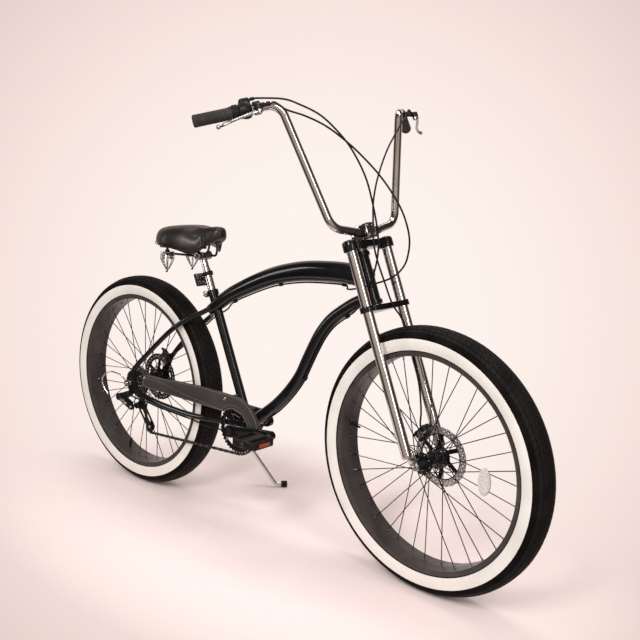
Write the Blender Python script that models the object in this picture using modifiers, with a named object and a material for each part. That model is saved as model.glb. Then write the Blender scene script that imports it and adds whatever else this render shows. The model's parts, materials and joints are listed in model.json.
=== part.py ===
"""Beach cruiser bicycle with high-rise handlebar, parked on its side stand.

Metres, +X to the bicycle's front, +Y to its left, +Z up. Every piece is modelled
upright on a bicycle whose rear wheel stands at x = 0, and the root empty leans it
over its stand and centres it on the ground.
"""
import math

import bmesh
import bpy
from mathutils import Matrix, Vector

# Wheels and their places
WHEEL_RADIUS = 0.351
TYRE_HALF_WIDTH = 0.0425
RIM_RADIUS = 0.289
RIM_DEPTH = 0.0125
RIM_HALF_WIDTH = 0.0362
WHEELBASE = 1.152
SPOKES = 36
SPOKE_RADIUS = 0.0013
HUB_BORE = 0.0056
HUB_SPIGOT_RADIUS = 0.0172
FREEHUB_RADIUS = 0.0158
HUB_FLANGE_RADIUS = 0.029
LEAN_DEG = 1.47
STEER_DEG = -2.96

# Steering geometry: distances up the steering axis from the foot below the axle
HEAD_ANGLE_DEG = 68.0
FORK_OFFSET = 0.0437
HEAD_BOTTOM = 0.426
HEAD_LENGTH = 0.143
HEAD_RADIUS = 0.0205
CUP_FLARE = 0.004
STEERER_RADIUS = 0.0127
CROWN_LOWER_HEIGHT = 0.015
CROWN_UPPER_HEIGHT = 0.018
CROWN_GAP = 0.0055
LEG_RADIUS = 0.014
LEG_OFFSET = 0.034
LEG_HALF_SPACING = 0.070
LEG_BOTTOM = 0.022
FORK_DROPOUT_INNER = 0.0575
DROPOUT_THICKNESS = 0.005
AXLE_RADIUS = 0.005

# Handlebar corners, each as forward, left and up along the steering axis
BAR_RADIUS = 0.0111
BAR_FORWARD = 0.040
BAR_RISE_START = 0.615
BAR_LOW_CORNER = (0.038, 0.124, 0.632)
BAR_TOP_CORNER = (0.074, 0.230, 0.945)
BAR_END = (-0.047, 0.404, 0.943)
BAR_LOW_BEND = 0.055
BAR_TOP_BEND = 0.040
GRIP_LENGTH = 0.092
LONG_GRIP_LENGTH = 0.132
GRIP_RADIUS = 0.0155
LEVER_DISTANCE = 0.155
LEVER_PIVOT_DROP = 0.0175
LEVER_BLADE_ROUTE = (
    # forward of the bar, below it and outward along it, from the pivot to the tip
    (0.0385, 0.0215, 0.001), (0.0410, 0.0230, 0.020), (0.0380, 0.0260, 0.045), (0.0330, 0.0300, 0.075),
    (0.0340, 0.0350, 0.098), (0.0400, 0.0390, 0.108))

# Frame
BB_X = 0.495
BB_Z = 0.298
BB_RADIUS = 0.0215
BB_HALF_LENGTH = 0.034
SEAT_ANGLE_DEG = 66.5
SEAT_TUBE_LENGTH = 0.432
SEAT_TUBE_RADIUS = 0.0143
POST_RADIUS = 0.0125
POST_INSERT = 0.070
POST_TOP = 0.548
DOWN_TUBE_RADIUS = 0.0175
CHAIN_STAY_RADIUS = 0.009
SEAT_STAY_RADIUS = 0.008
REAR_DROPOUT_INNER = 0.0675
REAR_DROPOUT_THICKNESS = 0.006

# Drive train
CHAIN_LINE = 0.050
CHAIN_PITCH = 0.0127
CHAIN_HALF_HEIGHT = 0.0042
CHAIN_HALF_WIDTH = 0.0034
RING_TEETH = 38
COG_TEETH = (14, 16, 18, 20, 22, 24, 28)
DRIVEN_COG = 2
COG_PITCH = 0.005
TOOTH_CLEARANCE = 0.0048
PULLEY_RADIUS = 0.0205
GUIDE_PULLEY = (0.034, 0.279)
TENSION_PULLEY = (0.085, 0.2145)
CRANK_LENGTH = 0.168
CRANK_DEG = 8.0
CRANK_INNER = 0.0725
CRANK_THICKNESS = 0.014
SPINDLE_RADIUS = 0.0085
PEDAL_INNER = 0.105
PEDAL_WIDTH = 0.092
PEDAL_LENGTH = 0.088
PEDAL_HEIGHT = 0.024
PEDAL_AXLE_RADIUS = 0.0045

# Brakes
ROTOR_RADIUS = 0.080
ROTOR_THICKNESS = 0.002
FRONT_ROTOR_Y = 0.047
REAR_ROTOR_Y = 0.056
FRONT_CALIPER_DEG = 139
REAR_CALIPER_DEG = 62
CALIPER_RADIUS = 0.077
CALIPER_LENGTH = 0.042
CALIPER_DEPTH = 0.030
CABLE_RADIUS = 0.0024

# Saddle: rails' height, springs' place and the top of their bolts
RAIL_HEIGHT = 0.7966
RAIL_RADIUS = 0.0035
SPRING_PLACE = (0.172, 0.052)
SPRING_TOP = 0.8138

# Side stand
STAND_PIVOT = (0.260, 0.083, 0.266)
STAND_KNEE = (0.3106, 0.205, 0.1212)
STAND_KNEE_BEND = 0.080
STAND_FOOT = (0.380, 0.254)
STAND_FOLDED = (-0.970, 0.10, -0.22)
STAND_LEG_RADIUS = 0.0065
STAND_HEAD_RADIUS = 0.013
STAND_HEAD_HALF = 0.008
STAND_FOOT_RADIUS = 0.0105
STAND_STAY_ROW = 4

# Clearances and fineness
GAP = 0.0003
TUBE_SIDES = 8
WHEEL_STEPS = 28
STAY_POINTS = 14
ROUND_STEPS = 12

# Colour, roughness and metallic value of each finish
FINISHES = {
    "black_paint": ((0.012, 0.012, 0.013), 0.22, 0.0),
    "chrome": ((0.80, 0.79, 0.77), 0.08, 1.0),
    "silver": ((0.62, 0.62, 0.62), 0.30, 1.0),
    "tyre_rubber": ((0.020, 0.020, 0.021), 0.75, 0.0),
    "black_rim": ((0.045, 0.042, 0.042), 0.45, 0.3),
    "black_plastic": ((0.020, 0.020, 0.021), 0.50, 0.0),
    "black_leather": ((0.022, 0.021, 0.021), 0.45, 0.0),
    "steel": ((0.35, 0.35, 0.36), 0.35, 1.0),
    "grey_guard": ((0.060, 0.058, 0.060), 0.35, 0.0),
    "cable_black": ((0.010, 0.010, 0.010), 0.40, 0.0),
    "clear_reflector": ((0.75, 0.76, 0.76), 0.15, 0.0),
}

HEAD_UP = Vector((-math.cos(math.radians(HEAD_ANGLE_DEG)), 0, math.sin(math.radians(HEAD_ANGLE_DEG))))
HEAD_FORWARD = Vector((HEAD_UP.z, 0, -HEAD_UP.x))
HEAD_FOOT = Vector((WHEELBASE, 0, WHEEL_RADIUS)) - FORK_OFFSET * HEAD_FORWARD
SEAT_UP = Vector((-math.cos(math.radians(SEAT_ANGLE_DEG)), 0, math.sin(math.radians(SEAT_ANGLE_DEG))))
BB = Vector((BB_X, 0, BB_Z))
REAR_AXLE = Vector((0, 0, WHEEL_RADIUS))
CROWN_LOWER_TOP = HEAD_BOTTOM - CROWN_GAP
CROWN_UPPER_BOTTOM = HEAD_BOTTOM + HEAD_LENGTH + CROWN_GAP


# Scene, collections and finishes

def clear_scene():
    for item in list(bpy.data.objects):
        bpy.data.objects.remove(item, do_unlink=True)


def new_collection(name):
    group = bpy.data.collections.new(name)
    bpy.context.scene.collection.children.link(group)
    return group


def empty(name, parent, place):
    item = bpy.data.objects.new(name, None)
    item.empty_display_size = 0.05
    PARTS.objects.link(item)
    item.parent = parent
    item.matrix_basis = place
    return item


def finish_material(name, finish):
    colour, roughness, metallic = FINISHES[finish]
    made = bpy.data.materials.new(name + "_" + finish)
    made.use_nodes = True
    shader = made.node_tree.nodes["Principled BSDF"]
    shader.inputs["Base Color"].default_value = (*colour, 1)
    shader.inputs["Roughness"].default_value = roughness
    shader.inputs["Metallic"].default_value = metallic
    made.diffuse_color = (*colour, 1)
    return made


def place_object(name, data, finish, parent, place=None):
    """Link an object holding data, under parent, with its own material."""
    item = bpy.data.objects.new(name, data)
    PARTS.objects.link(item)
    item.parent = parent
    item.matrix_basis = place or Matrix()
    data.materials.append(finish_material(name, finish))
    return item


def as_cutter(item):
    """Turn an object into a hidden Boolean operand."""
    for group in list(item.users_collection):
        group.objects.unlink(item)
    CUTTERS.objects.link(item)
    item.hide_render = True
    item.display_type = "WIRE"
    return item


# Places

def along(start, end):
    """Matrix with its origin at start and its Z axis pointing to end."""
    direction = Vector(end) - Vector(start)
    return Matrix.Translation(start) @ direction.to_track_quat("Z", "Y").to_matrix().to_4x4()


def sideways(centre):
    """Matrix whose Z axis points left along the bicycle's Y."""
    return Matrix.Translation(centre) @ Matrix.Rotation(-math.pi / 2, 4, "X")


def steering_place():
    """Steering axis frame at rest: X forward of the axis, Y left, Z up it."""
    axes = Matrix((HEAD_FORWARD, (0, 1, 0), HEAD_UP)).transposed().to_4x4()
    return Matrix.Translation(HEAD_FOOT) @ axes @ Matrix.Rotation(math.radians(STEER_DEG), 4, "Z")


def front_hub_place():
    """Front axle's frame on the steering axis frame, turned level with the ground."""
    return Matrix.Translation((FORK_OFFSET, 0, 0)) @ Matrix.Rotation(math.radians(90 - HEAD_ANGLE_DEG), 4, "Y")


def seat_frame(height):
    """Frame on the seat tube's axis: X forward of it, Z up it."""
    return Matrix.Translation(seat_point(height)) @ Matrix.Rotation(math.radians(SEAT_ANGLE_DEG - 90), 4, "Y")


def upright_plane(centre):
    """Matrix that stands a flat XY outline up in the bicycle's XZ plane."""
    return Matrix.Translation(centre) @ Matrix.Rotation(math.pi / 2, 4, "X")


# Routes and outlines

def rounded_path(corners, bends, steps=5):
    """Points along straight runs with an arc of the given radius at each inner corner."""
    corners = [Vector(corner) for corner in corners]
    points = [corners[0]]
    for before, corner, after, bend in zip(corners, corners[1:], corners[2:], bends):
        back = (before - corner).normalized()
        ahead = (after - corner).normalized()
        half = back.angle(ahead) / 2
        centre = corner + (back + ahead).normalized() * bend / math.sin(half)
        start = corner + back * bend / math.tan(half) - centre
        end = corner + ahead * bend / math.tan(half) - centre
        for step in range(steps + 1):
            points.append(centre + start.slerp(end, step / steps) * bend / start.slerp(end, step / steps).length)
    return points + [corners[-1]]


def smooth_path(points, count):
    """Evenly spaced values along a smooth curve through points, of any number of columns."""
    rows = [tuple(point) for point in points]
    rows = [rows[0]] + rows + [rows[-1]]
    dense = []
    for before, start, end, after in zip(rows, rows[1:], rows[2:], rows[3:]):
        for step in range(24):
            t = step / 24
            weights = ((-t + 2 * t * t - t ** 3) / 2, (2 - 5 * t * t + 3 * t ** 3) / 2,
                       (t + 4 * t * t - 3 * t ** 3) / 2, (t ** 3 - t * t) / 2)
            dense.append([sum(w * row[k] for w, row in zip(weights, (before, start, end, after)))
                          for k in range(len(start))])
    dense.append(list(rows[-1]))
    lengths = [0.0]
    for one, two in zip(dense, dense[1:]):
        lengths.append(lengths[-1] + math.dist(one[:3], two[:3]))
    result = []
    index = 0
    for step in range(count):
        target = lengths[-1] * step / (count - 1)
        while index < len(dense) - 2 and lengths[index + 1] < target:
            index += 1
        share = (target - lengths[index]) / (lengths[index + 1] - lengths[index])
        result.append([a + (b - a) * share for a, b in zip(dense[index], dense[index + 1])])
    return result


def sag_path(points, sag):
    """Points of a smooth curve through the given ones, as few as keep its chords within sag."""
    dense = [Vector(row) for row in smooth_path(points, 12 * len(points))]
    keep = [0, len(dense) - 1]
    spans = [(0, len(dense) - 1)]
    while spans:
        first, last = spans.pop()
        run = (dense[last] - dense[first]).normalized()
        offsets = [((dense[k] - dense[first]).cross(run)).length for k in range(first + 1, last)]
        if offsets and max(offsets) > sag:
            middle = first + 1 + offsets.index(max(offsets))
            keep.append(middle)
            spans += [(first, middle), (middle, last)]
    return [dense[k] for k in sorted(keep)]


def bore_for(radius, steps=ROUND_STEPS):
    """Radius of a bore whose flats, not its corners, clear a rod by the gap."""
    return (radius + GAP) / math.cos(math.pi / steps)


def circle_outline(x, y, radius, steps=ROUND_STEPS, start=0.0):
    return [(x + radius * math.cos(start + 2 * math.pi * k / steps),
             y + radius * math.sin(start + 2 * math.pi * k / steps)) for k in range(steps)]


def arc_outline(x, y, radius, from_deg, to_deg, steps):
    return [(x + radius * math.cos(math.radians(from_deg + (to_deg - from_deg) * k / steps)),
             y + radius * math.sin(math.radians(from_deg + (to_deg - from_deg) * k / steps)))
            for k in range(steps + 1)]


def strap_outline(first, first_radius, second, second_radius, steps=6):
    """Outline of a strap that wraps a round boss at each end."""
    first, second = Vector(first), Vector(second)
    heading = math.degrees(math.atan2((second - first).y, (second - first).x))
    spread = math.degrees(math.acos((first_radius - second_radius) / (second - first).length))
    return (arc_outline(second.x, second.y, second_radius, heading - spread, heading + spread, steps)
            + arc_outline(first.x, first.y, first_radius, heading + spread, heading + 360 - spread, steps))


# Solids

def tube(name, points, radius, finish, parent, sides=TUBE_SIDES, radii=None):
    """A filled round tube through points, as a curve object."""
    curve = bpy.data.curves.new(name, "CURVE")
    curve.dimensions = "3D"
    curve.render_resolution_u = 0
    curve.bevel_depth = radius
    curve.bevel_resolution = (sides - 4) // 2
    curve.use_fill_caps = True
    spline = curve.splines.new("POLY")
    spline.points.add(len(points) - 1)
    for index, (point, spot) in enumerate(zip(points, spline.points)):
        spot.co = (*point[:3], 1)
        spot.radius = radii[index] / radius if radii else 1
    spline.use_smooth = True
    return place_object(name, curve, finish, parent)


def plate(name, outlines, thickness, finish, parent, place):
    """A flat plate from 2D outlines, the first outer and the others holes."""
    curve = bpy.data.curves.new(name, "CURVE")
    curve.dimensions = "2D"
    curve.fill_mode = "BOTH"
    curve.render_resolution_u = 0
    curve.extrude = thickness / 2
    for outline in outlines:
        spline = curve.splines.new("POLY")
        spline.points.add(len(outline) - 1)
        for point, spot in zip(outline, spline.points):
            spot.co = (point[0], point[1], 0, 1)
        spline.use_cyclic_u = True
    return place_object(name, curve, finish, parent, place)


def meshed(item):
    """Replace a curve object by the welded mesh that it draws."""
    bpy.context.view_layer.update()
    graph = bpy.context.evaluated_depsgraph_get()
    mesh = bpy.data.meshes.new_from_object(item.evaluated_get(graph))
    work = bmesh.new()
    work.from_mesh(mesh)
    bmesh.ops.remove_doubles(work, verts=work.verts, dist=0.00001)
    bmesh.ops.recalc_face_normals(work, faces=work.faces)
    work.to_mesh(mesh)
    work.free()
    name, parent, place = item.name, item.parent, item.matrix_basis.copy()
    bpy.data.objects.remove(item, do_unlink=True)
    solid = bpy.data.objects.new(name, mesh)
    PARTS.objects.link(solid)
    solid.parent = parent
    solid.matrix_basis = place
    return solid


def turned(name, profile, finish, parent, place, steps=ROUND_STEPS, closed=False):
    """A turned solid from a profile of (radius, height) rows, running top to bottom outside."""
    mesh = bpy.data.meshes.new(name)
    edges = [(k, k + 1) for k in range(len(profile) - 1)]
    if closed:
        edges.append((len(profile) - 1, 0))
    mesh.from_pydata([(radius, 0, height) for radius, height in profile], edges, [])
    item = place_object(name, mesh, finish, parent, place)
    screw = item.modifiers.new("turn", "SCREW")
    screw.steps = steps
    screw.render_steps = steps
    screw.use_merge_vertices = True
    screw.merge_threshold = 0.00001
    screw.use_smooth_shade = True
    return item


def ring_profile(inner, outer, low, high):
    return [(inner, high), (outer, high), (outer, low), (inner, low)]


def rod_profile(radius, low, high):
    return [(0, high), (radius, high), (radius, low), (0, low)]


def box(name, size, finish, parent, place, bevel=0.0):
    """A box with its edges rounded by bevel."""
    mesh = bpy.data.meshes.new(name)
    work = bmesh.new()
    bmesh.ops.create_cube(work, size=1.0)
    bmesh.ops.scale(work, vec=size, verts=work.verts)
    work.to_mesh(mesh)
    work.free()
    item = place_object(name, mesh, finish, parent, place)
    if bevel:
        rounding = item.modifiers.new("round", "BEVEL")
        rounding.width = bevel
        rounding.segments = 1
    return item


def boolean(item, tool, operation):
    step = item.modifiers.new(operation.lower(), "BOOLEAN")
    step.operation = operation
    step.object = as_cutter(tool)
    return item


def cut(item, *tools):
    for tool in tools:
        boolean(item, tool, "DIFFERENCE")
    return item


def joined(item, *tools):
    for tool in tools:
        boolean(item, tool, "UNION")
    return item


def rod_between(name, start, end, radius, finish, parent, steps=ROUND_STEPS):
    length = (Vector(end) - Vector(start)).length
    return turned(name, rod_profile(radius, 0, length), finish, parent, along(start, end), steps)


def cutting_rod(name, start, end, radius, parent, steps=ROUND_STEPS):
    return rod_between(name, start, end, radius, "steel", parent, steps)


# Wheels

def tyre(name, parent):
    """Balloon tyre whose flat facets, not their corners, lie at the wheel's radius."""
    reach = 1 / math.cos(math.pi / WHEEL_STEPS)
    crown = WHEEL_RADIUS * reach
    bead = RIM_RADIUS + GAP
    half = [(crown, 0.0), (crown - 0.006, 0.026), (crown - 0.019, 0.0395), (crown - 0.040, TYRE_HALF_WIDTH),
            (bead, RIM_HALF_WIDTH)]
    profile = [(radius, y) for radius, y in reversed(half)] + [(radius, -y) for radius, y in half[1:]]
    start = Matrix.Rotation(math.pi / WHEEL_STEPS, 4, "Z")
    return turned(name, profile, "tyre_rubber", parent, sideways((0, 0, 0)) @ start, WHEEL_STEPS, closed=True)


def rim(name, parent):
    inner = RIM_RADIUS - RIM_DEPTH
    profile = [(inner, RIM_HALF_WIDTH), (RIM_RADIUS, RIM_HALF_WIDTH), (RIM_RADIUS, -RIM_HALF_WIDTH),
               (inner, -RIM_HALF_WIDTH)]
    start = Matrix.Rotation(math.pi / WHEEL_STEPS, 4, "Z")
    return turned(name, profile, "black_rim", parent, sideways((0, 0, 0)) @ start, WHEEL_STEPS, closed=True)


def spokes_mesh(name, flanges, parent, radius=SPOKE_RADIUS):
    """All spokes of a wheel as separate rods, crossing in two layers on each flange."""
    rim_inner = (RIM_RADIUS - RIM_DEPTH) * math.cos(math.pi / WHEEL_STEPS) - GAP
    mesh = bpy.data.meshes.new(name)
    work = bmesh.new()
    for index in range(SPOKES):
        side = index % 2
        layer = index // 2 % 2
        flange_y = flanges[side]
        outward = math.copysign(1, flange_y)
        rim_angle = 2 * math.pi * index / SPOKES
        twist = math.radians(56) * (1 if layer else -1)
        hub_angle = rim_angle + twist
        hub_y = flange_y + outward * 0.0026 * (1 if layer else -1)
        inside = HUB_FLANGE_RADIUS - 0.004
        start = Vector((inside * math.cos(hub_angle), hub_y, inside * math.sin(hub_angle)))
        end = Vector((rim_inner * math.cos(rim_angle), 0.004 * outward, rim_inner * math.sin(rim_angle)))
        place = along(start, end) @ Matrix.Translation((0, 0, (end - start).length / 2))
        bmesh.ops.create_cone(work, cap_ends=True, segments=3, radius1=radius, radius2=radius,
                              depth=(end - start).length, matrix=place)
    work.to_mesh(mesh)
    work.free()
    return place_object(name, mesh, "steel", parent)


def hub_and_spokes(name, profile, flanges, parent):
    hub = turned(name, profile, "black_paint", parent, sideways((0, 0, 0)), 10, closed=True)
    return joined(hub, spokes_mesh(name + "_rods", flanges, parent))


def rotor(name, y, parent):
    """Disc brake rotor with six windows between its arms."""
    outlines = [circle_outline(0, 0, ROTOR_RADIUS, 24), circle_outline(0, 0, bore_for(HUB_SPIGOT_RADIUS))]
    for window in range(6):
        middle = 60 * window
        outlines.append(arc_outline(0, 0, 0.062, middle - 21, middle + 21, 2)
                        + arc_outline(0, 0, 0.034, middle + 14, middle - 14, 1))
    return plate(name, outlines, ROTOR_THICKNESS, "steel", parent, upright_plane((0, y, 0)))


def front_wheel(parent):
    half = FORK_DROPOUT_INNER - 0.0006
    flange = 0.030
    rim_of_flange = HUB_FLANGE_RADIUS
    disc_face = FRONT_ROTOR_Y - ROTOR_THICKNESS / 2 - GAP
    profile = [(HUB_BORE, half), (0.0095, half), (HUB_SPIGOT_RADIUS, FRONT_ROTOR_Y + 0.0012),
               (HUB_SPIGOT_RADIUS, disc_face), (0.024, disc_face), (0.0185, disc_face - 0.006),
               (0.0185, flange + 0.0035),
               (rim_of_flange, flange + 0.0035), (rim_of_flange, flange - 0.0035), (0.0165, flange - 0.007),
               (0.0165, -flange + 0.007), (rim_of_flange, -flange + 0.0035), (rim_of_flange, -flange - 0.0035),
               (0.0095, -half), (HUB_BORE, -half)]
    tyre("front_tyre", parent)
    rim("front_rim", parent)
    hub_and_spokes("front_hub_spokes", profile, (flange, -flange), parent)
    rotor("front_rotor", FRONT_ROTOR_Y, parent)
    reflector = box("wheel_reflector", (0.036, 0.010, 0.072), "clear_reflector", parent,
                    Matrix.Translation((0.176, -0.0145, -0.004)), bevel=0.003)
    cut(reflector, spokes_mesh("wheel_reflector_slots", (flange, -flange), parent, SPOKE_RADIUS + GAP))


def rear_wheel(parent):
    half = REAR_DROPOUT_INNER - 0.0006
    left, right = 0.036, -0.018
    rim_of_flange = HUB_FLANGE_RADIUS
    disc_face = REAR_ROTOR_Y - ROTOR_THICKNESS / 2 - GAP
    cog_outer = -CHAIN_LINE - DRIVEN_COG * COG_PITCH - 0.0015
    cog_inner = cog_outer + len(COG_TEETH) * COG_PITCH
    profile = [(HUB_BORE, half), (0.0095, half), (HUB_SPIGOT_RADIUS, REAR_ROTOR_Y + 0.0012),
               (HUB_SPIGOT_RADIUS, disc_face), (0.024, disc_face), (0.0185, disc_face - 0.006),
               (0.0185, left + 0.0035),
               (rim_of_flange, left + 0.0035), (rim_of_flange, left - 0.0035), (0.0175, left - 0.008),
               (0.0175, right + 0.007), (rim_of_flange, right + 0.0035), (rim_of_flange, right - 0.0035),
               (0.0195, cog_inner + GAP),
               (FREEHUB_RADIUS, cog_inner + GAP), (FREEHUB_RADIUS, cog_outer), (0.0095, -half), (HUB_BORE, -half)]
    tyre("rear_tyre", parent)
    rim("rear_rim", parent)
    hub_and_spokes("rear_hub_spokes", profile, (left, right), parent)
    rotor("rear_rotor", REAR_ROTOR_Y, parent)
    cassette(parent)


def pitch_radius(teeth):
    return CHAIN_PITCH / (2 * math.sin(math.pi / teeth))


def cassette(parent):
    """Seven cogs in one stack, the driven one low enough to pass under the chain's rollers."""
    profile = []
    for index, teeth in enumerate(COG_TEETH):
        middle = -CHAIN_LINE + (index - DRIVEN_COG) * COG_PITCH
        tip = pitch_radius(teeth) - (TOOTH_CLEARANCE if index == DRIVEN_COG else 0.0005)
        core = pitch_radius(COG_TEETH[0]) - 0.007
        profile += [(core, middle - 0.0010), (tip, middle - 0.0010), (tip, middle + 0.0010), (core, middle + 0.0010)]
    bore = bore_for(FREEHUB_RADIUS)
    profile = [(bore, profile[0][1])] + profile[1:-1] + [(bore, profile[-1][1])]
    profile.reverse()
    return turned("cassette", profile, "steel", parent, sideways((0, 0, 0)), ROUND_STEPS, closed=True)


# Frame tubes

def head_point(height):
    return HEAD_FOOT + HEAD_UP * height


def seat_point(height):
    return BB + SEAT_UP * height


TOP_TUBE_ROUTE = (
    # x, z and radius along the swept top tube, head end first
    (0.925, 0.798, 0.0285), (0.852, 0.803, 0.0290), (0.767, 0.7995, 0.0290), (0.693, 0.7915, 0.0282),
    (0.6125, 0.7745, 0.0265), (0.548, 0.7535, 0.0250), (0.473, 0.722, 0.0235), (0.406, 0.6895, 0.0218),
    (0.359, 0.6585, 0.0200), (0.318, 0.632, 0.0165))
DOWN_TUBE_ROUTE = (
    # x and z along the swept down tube, head end first
    (0.944, 0.750), (0.893, 0.728), (0.853, 0.704), (0.807, 0.670), (0.771, 0.628), (0.744, 0.582),
    (0.720, 0.536), (0.696, 0.490), (0.657, 0.439), (0.609, 0.390), (0.554, 0.346), (0.497, 0.300))
SEAT_STAY_ROUTE = (
    # x, y and z along the left seat stay, top tube's tail first
    (0.335, 0.0095, 0.643), (0.305, 0.024, 0.624), (0.272, 0.046, 0.604), (0.235, 0.0565, 0.581),
    (0.190, 0.059, 0.550), (0.140, 0.0595, 0.510), (0.090, 0.0625, 0.466), (0.050, 0.0685, 0.428),
    (0.026, 0.0705, 0.4035))
CHAIN_STAY_ROUTE = (
    # x, y and z along the left chain stay, bottom bracket first
    (0.490, 0.0240, 0.302), (0.440, 0.0320, 0.304), (0.400, 0.0460, 0.304), (0.355, 0.0585, 0.303),
    (0.250, 0.0605, 0.301), (0.140, 0.0625, 0.307), (0.080, 0.0675, 0.317), (0.034, 0.0705, 0.329))


def head_tube(parent):
    """Head tube with flared headset cups and an open bore for the steerer."""
    bore = STEERER_RADIUS + 0.001
    top = HEAD_LENGTH
    cup = HEAD_RADIUS + CUP_FLARE
    profile = [(bore, top), (cup - 0.001, top), (cup, top - 0.006), (HEAD_RADIUS + 0.001, top - 0.012),
               (HEAD_RADIUS, top - 0.013), (HEAD_RADIUS, 0.013), (HEAD_RADIUS + 0.001, 0.012), (cup, 0.006),
               (cup - 0.001, 0), (bore, 0)]
    place = along(head_point(HEAD_BOTTOM), head_point(HEAD_BOTTOM + HEAD_LENGTH))
    return turned("head_tube", profile, "black_paint", parent, place, ROUND_STEPS, closed=True)


def head_cutter(parent, name):
    """Cutter of the head tube's outline, wider at its cups."""
    cup, middle = bore_for(HEAD_RADIUS + CUP_FLARE), bore_for(HEAD_RADIUS)
    profile = [(0, HEAD_LENGTH + 0.05), (cup, HEAD_LENGTH + 0.05), (cup, HEAD_LENGTH - 0.013),
               (middle, HEAD_LENGTH - 0.0135), (middle, 0.0135), (cup, 0.013), (cup, -0.05), (0, -0.05)]
    return turned(name, profile, "steel", parent, along(head_point(HEAD_BOTTOM), head_point(1)), ROUND_STEPS)


def bb_cutter(parent, name):
    reach = Vector((0, BB_HALF_LENGTH + 0.03, 0))
    return cutting_rod(name, BB - reach, BB + reach, bore_for(BB_RADIUS), parent)


def top_tube(parent):
    rows = smooth_path([(x, 0, z, radius) for x, z, radius in TOP_TUBE_ROUTE], 14)
    item = meshed(tube("top_tube", rows, DOWN_TUBE_RADIUS, "black_paint", parent, 10, [row[3] for row in rows]))
    seat = cutting_rod("top_tube_seat_cut", seat_point(0.3), seat_point(0.5), bore_for(SEAT_TUBE_RADIUS), parent)
    return cut(item, head_cutter(parent, "top_tube_head_cut"), seat)


def down_tube(parent):
    rows = smooth_path([(x, 0, z) for x, z in DOWN_TUBE_ROUTE], 16)
    item = meshed(tube("down_tube", rows, DOWN_TUBE_RADIUS, "black_paint", parent, 10))
    seat = cutting_rod("down_tube_seat_cut", seat_point(0), seat_point(0.1), bore_for(SEAT_TUBE_RADIUS), parent)
    return cut(item, head_cutter(parent, "down_tube_head_cut"), bb_cutter(parent, "down_tube_bb_cut"), seat)


def seat_tube(parent):
    """Seat tube, open at its top for the seat post."""
    floor = SEAT_TUBE_LENGTH - POST_INSERT
    bore = bore_for(POST_RADIUS)
    profile = [(0, floor), (bore, floor), (bore, SEAT_TUBE_LENGTH), (SEAT_TUBE_RADIUS, SEAT_TUBE_LENGTH),
               (SEAT_TUBE_RADIUS, 0), (0, 0)]
    item = turned("seat_tube", profile, "black_paint", parent, along(BB, seat_point(1)), ROUND_STEPS)
    return cut(item, bb_cutter(parent, "seat_tube_bb_cut"))


def bb_shell(parent):
    """Bottom bracket shell with a cup at each end that holds the spindle."""
    lip = SPINDLE_RADIUS + 0.0008
    half = BB_HALF_LENGTH
    profile = [(lip, half), (BB_RADIUS, half), (BB_RADIUS, -half), (lip, -half), (lip, -half + 0.007),
               (0.0135, -half + 0.007), (0.0135, half - 0.007), (lip, half - 0.007)]
    return turned("bb_shell", profile, "black_paint", parent, sideways(BB), ROUND_STEPS, closed=True)


def mirrored(route, side):
    return [(x, y * side, z) for x, y, z in route]


def seat_stay(parent, side, word):
    rows = smooth_path(mirrored(SEAT_STAY_ROUTE, side), STAY_POINTS)
    item = meshed(tube("seat_stay_" + word, rows, SEAT_STAY_RADIUS, "black_paint", parent, 8))
    tail = smooth_path([(x, 0, z, radius + GAP) for x, z, radius in TOP_TUBE_ROUTE], 14)[-5:]
    tool = meshed(tube("seat_stay_tail_cut_" + word, tail, DOWN_TUBE_RADIUS, "black_paint", parent, 10,
                       [row[3] for row in tail]))
    seat = cutting_rod("seat_stay_seat_cut_" + word, seat_point(0.3), seat_point(0.5), bore_for(SEAT_TUBE_RADIUS),
                       parent)
    return cut(item, tool, seat)


def chain_stay(parent, side, word):
    rows = smooth_path(mirrored(CHAIN_STAY_ROUTE, side), STAY_POINTS)
    item = meshed(tube("chain_stay_" + word, rows, CHAIN_STAY_RADIUS, "black_paint", parent, 8))
    return cut(joined(item, dropout(parent, side, word)), bb_cutter(parent, "chain_stay_cut_" + word))


def dropout(parent, side, word):
    """Rear dropout plate between the stays' ends, with a hanger on the drive side."""
    seat_end, seat_before = Vector(SEAT_STAY_ROUTE[-1]), Vector(SEAT_STAY_ROUTE[-2])
    chain_end, chain_before = Vector(CHAIN_STAY_ROUTE[-1]), Vector(CHAIN_STAY_ROUTE[-2])
    axle = Vector((0, WHEEL_RADIUS))
    outline = []
    for end, before, lap, reach in ((chain_end, chain_before, -0.006, 0.0085), (seat_end, seat_before, GAP, 0.008)):
        run = Vector((end.x - before.x, end.z - before.z)).normalized()
        tip = Vector((end.x, end.z)) + run * lap
        across = Vector((-run.y, run.x)) * reach
        outline += [tip + across, tip - across]
    outline.insert(2, (0.030, 0.362))
    outline += arc_outline(axle.x, axle.y, 0.0165, 120, 245, 6)
    outline += [(-0.003, 0.328), (0.001, 0.309), (0.013, 0.307), (0.016, 0.318)] if side < 0 else [(0.010, 0.331)]
    hole = circle_outline(axle.x, axle.y, bore_for(AXLE_RADIUS))
    middle = side * (REAR_DROPOUT_INNER + REAR_DROPOUT_THICKNESS / 2)
    return meshed(plate("dropout_" + word, [outline, hole], REAR_DROPOUT_THICKNESS, "black_paint", parent,
                        upright_plane((0, middle, 0))))


def rear_nut_face():
    return REAR_DROPOUT_INNER + REAR_DROPOUT_THICKNESS + GAP + 0.009


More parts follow.
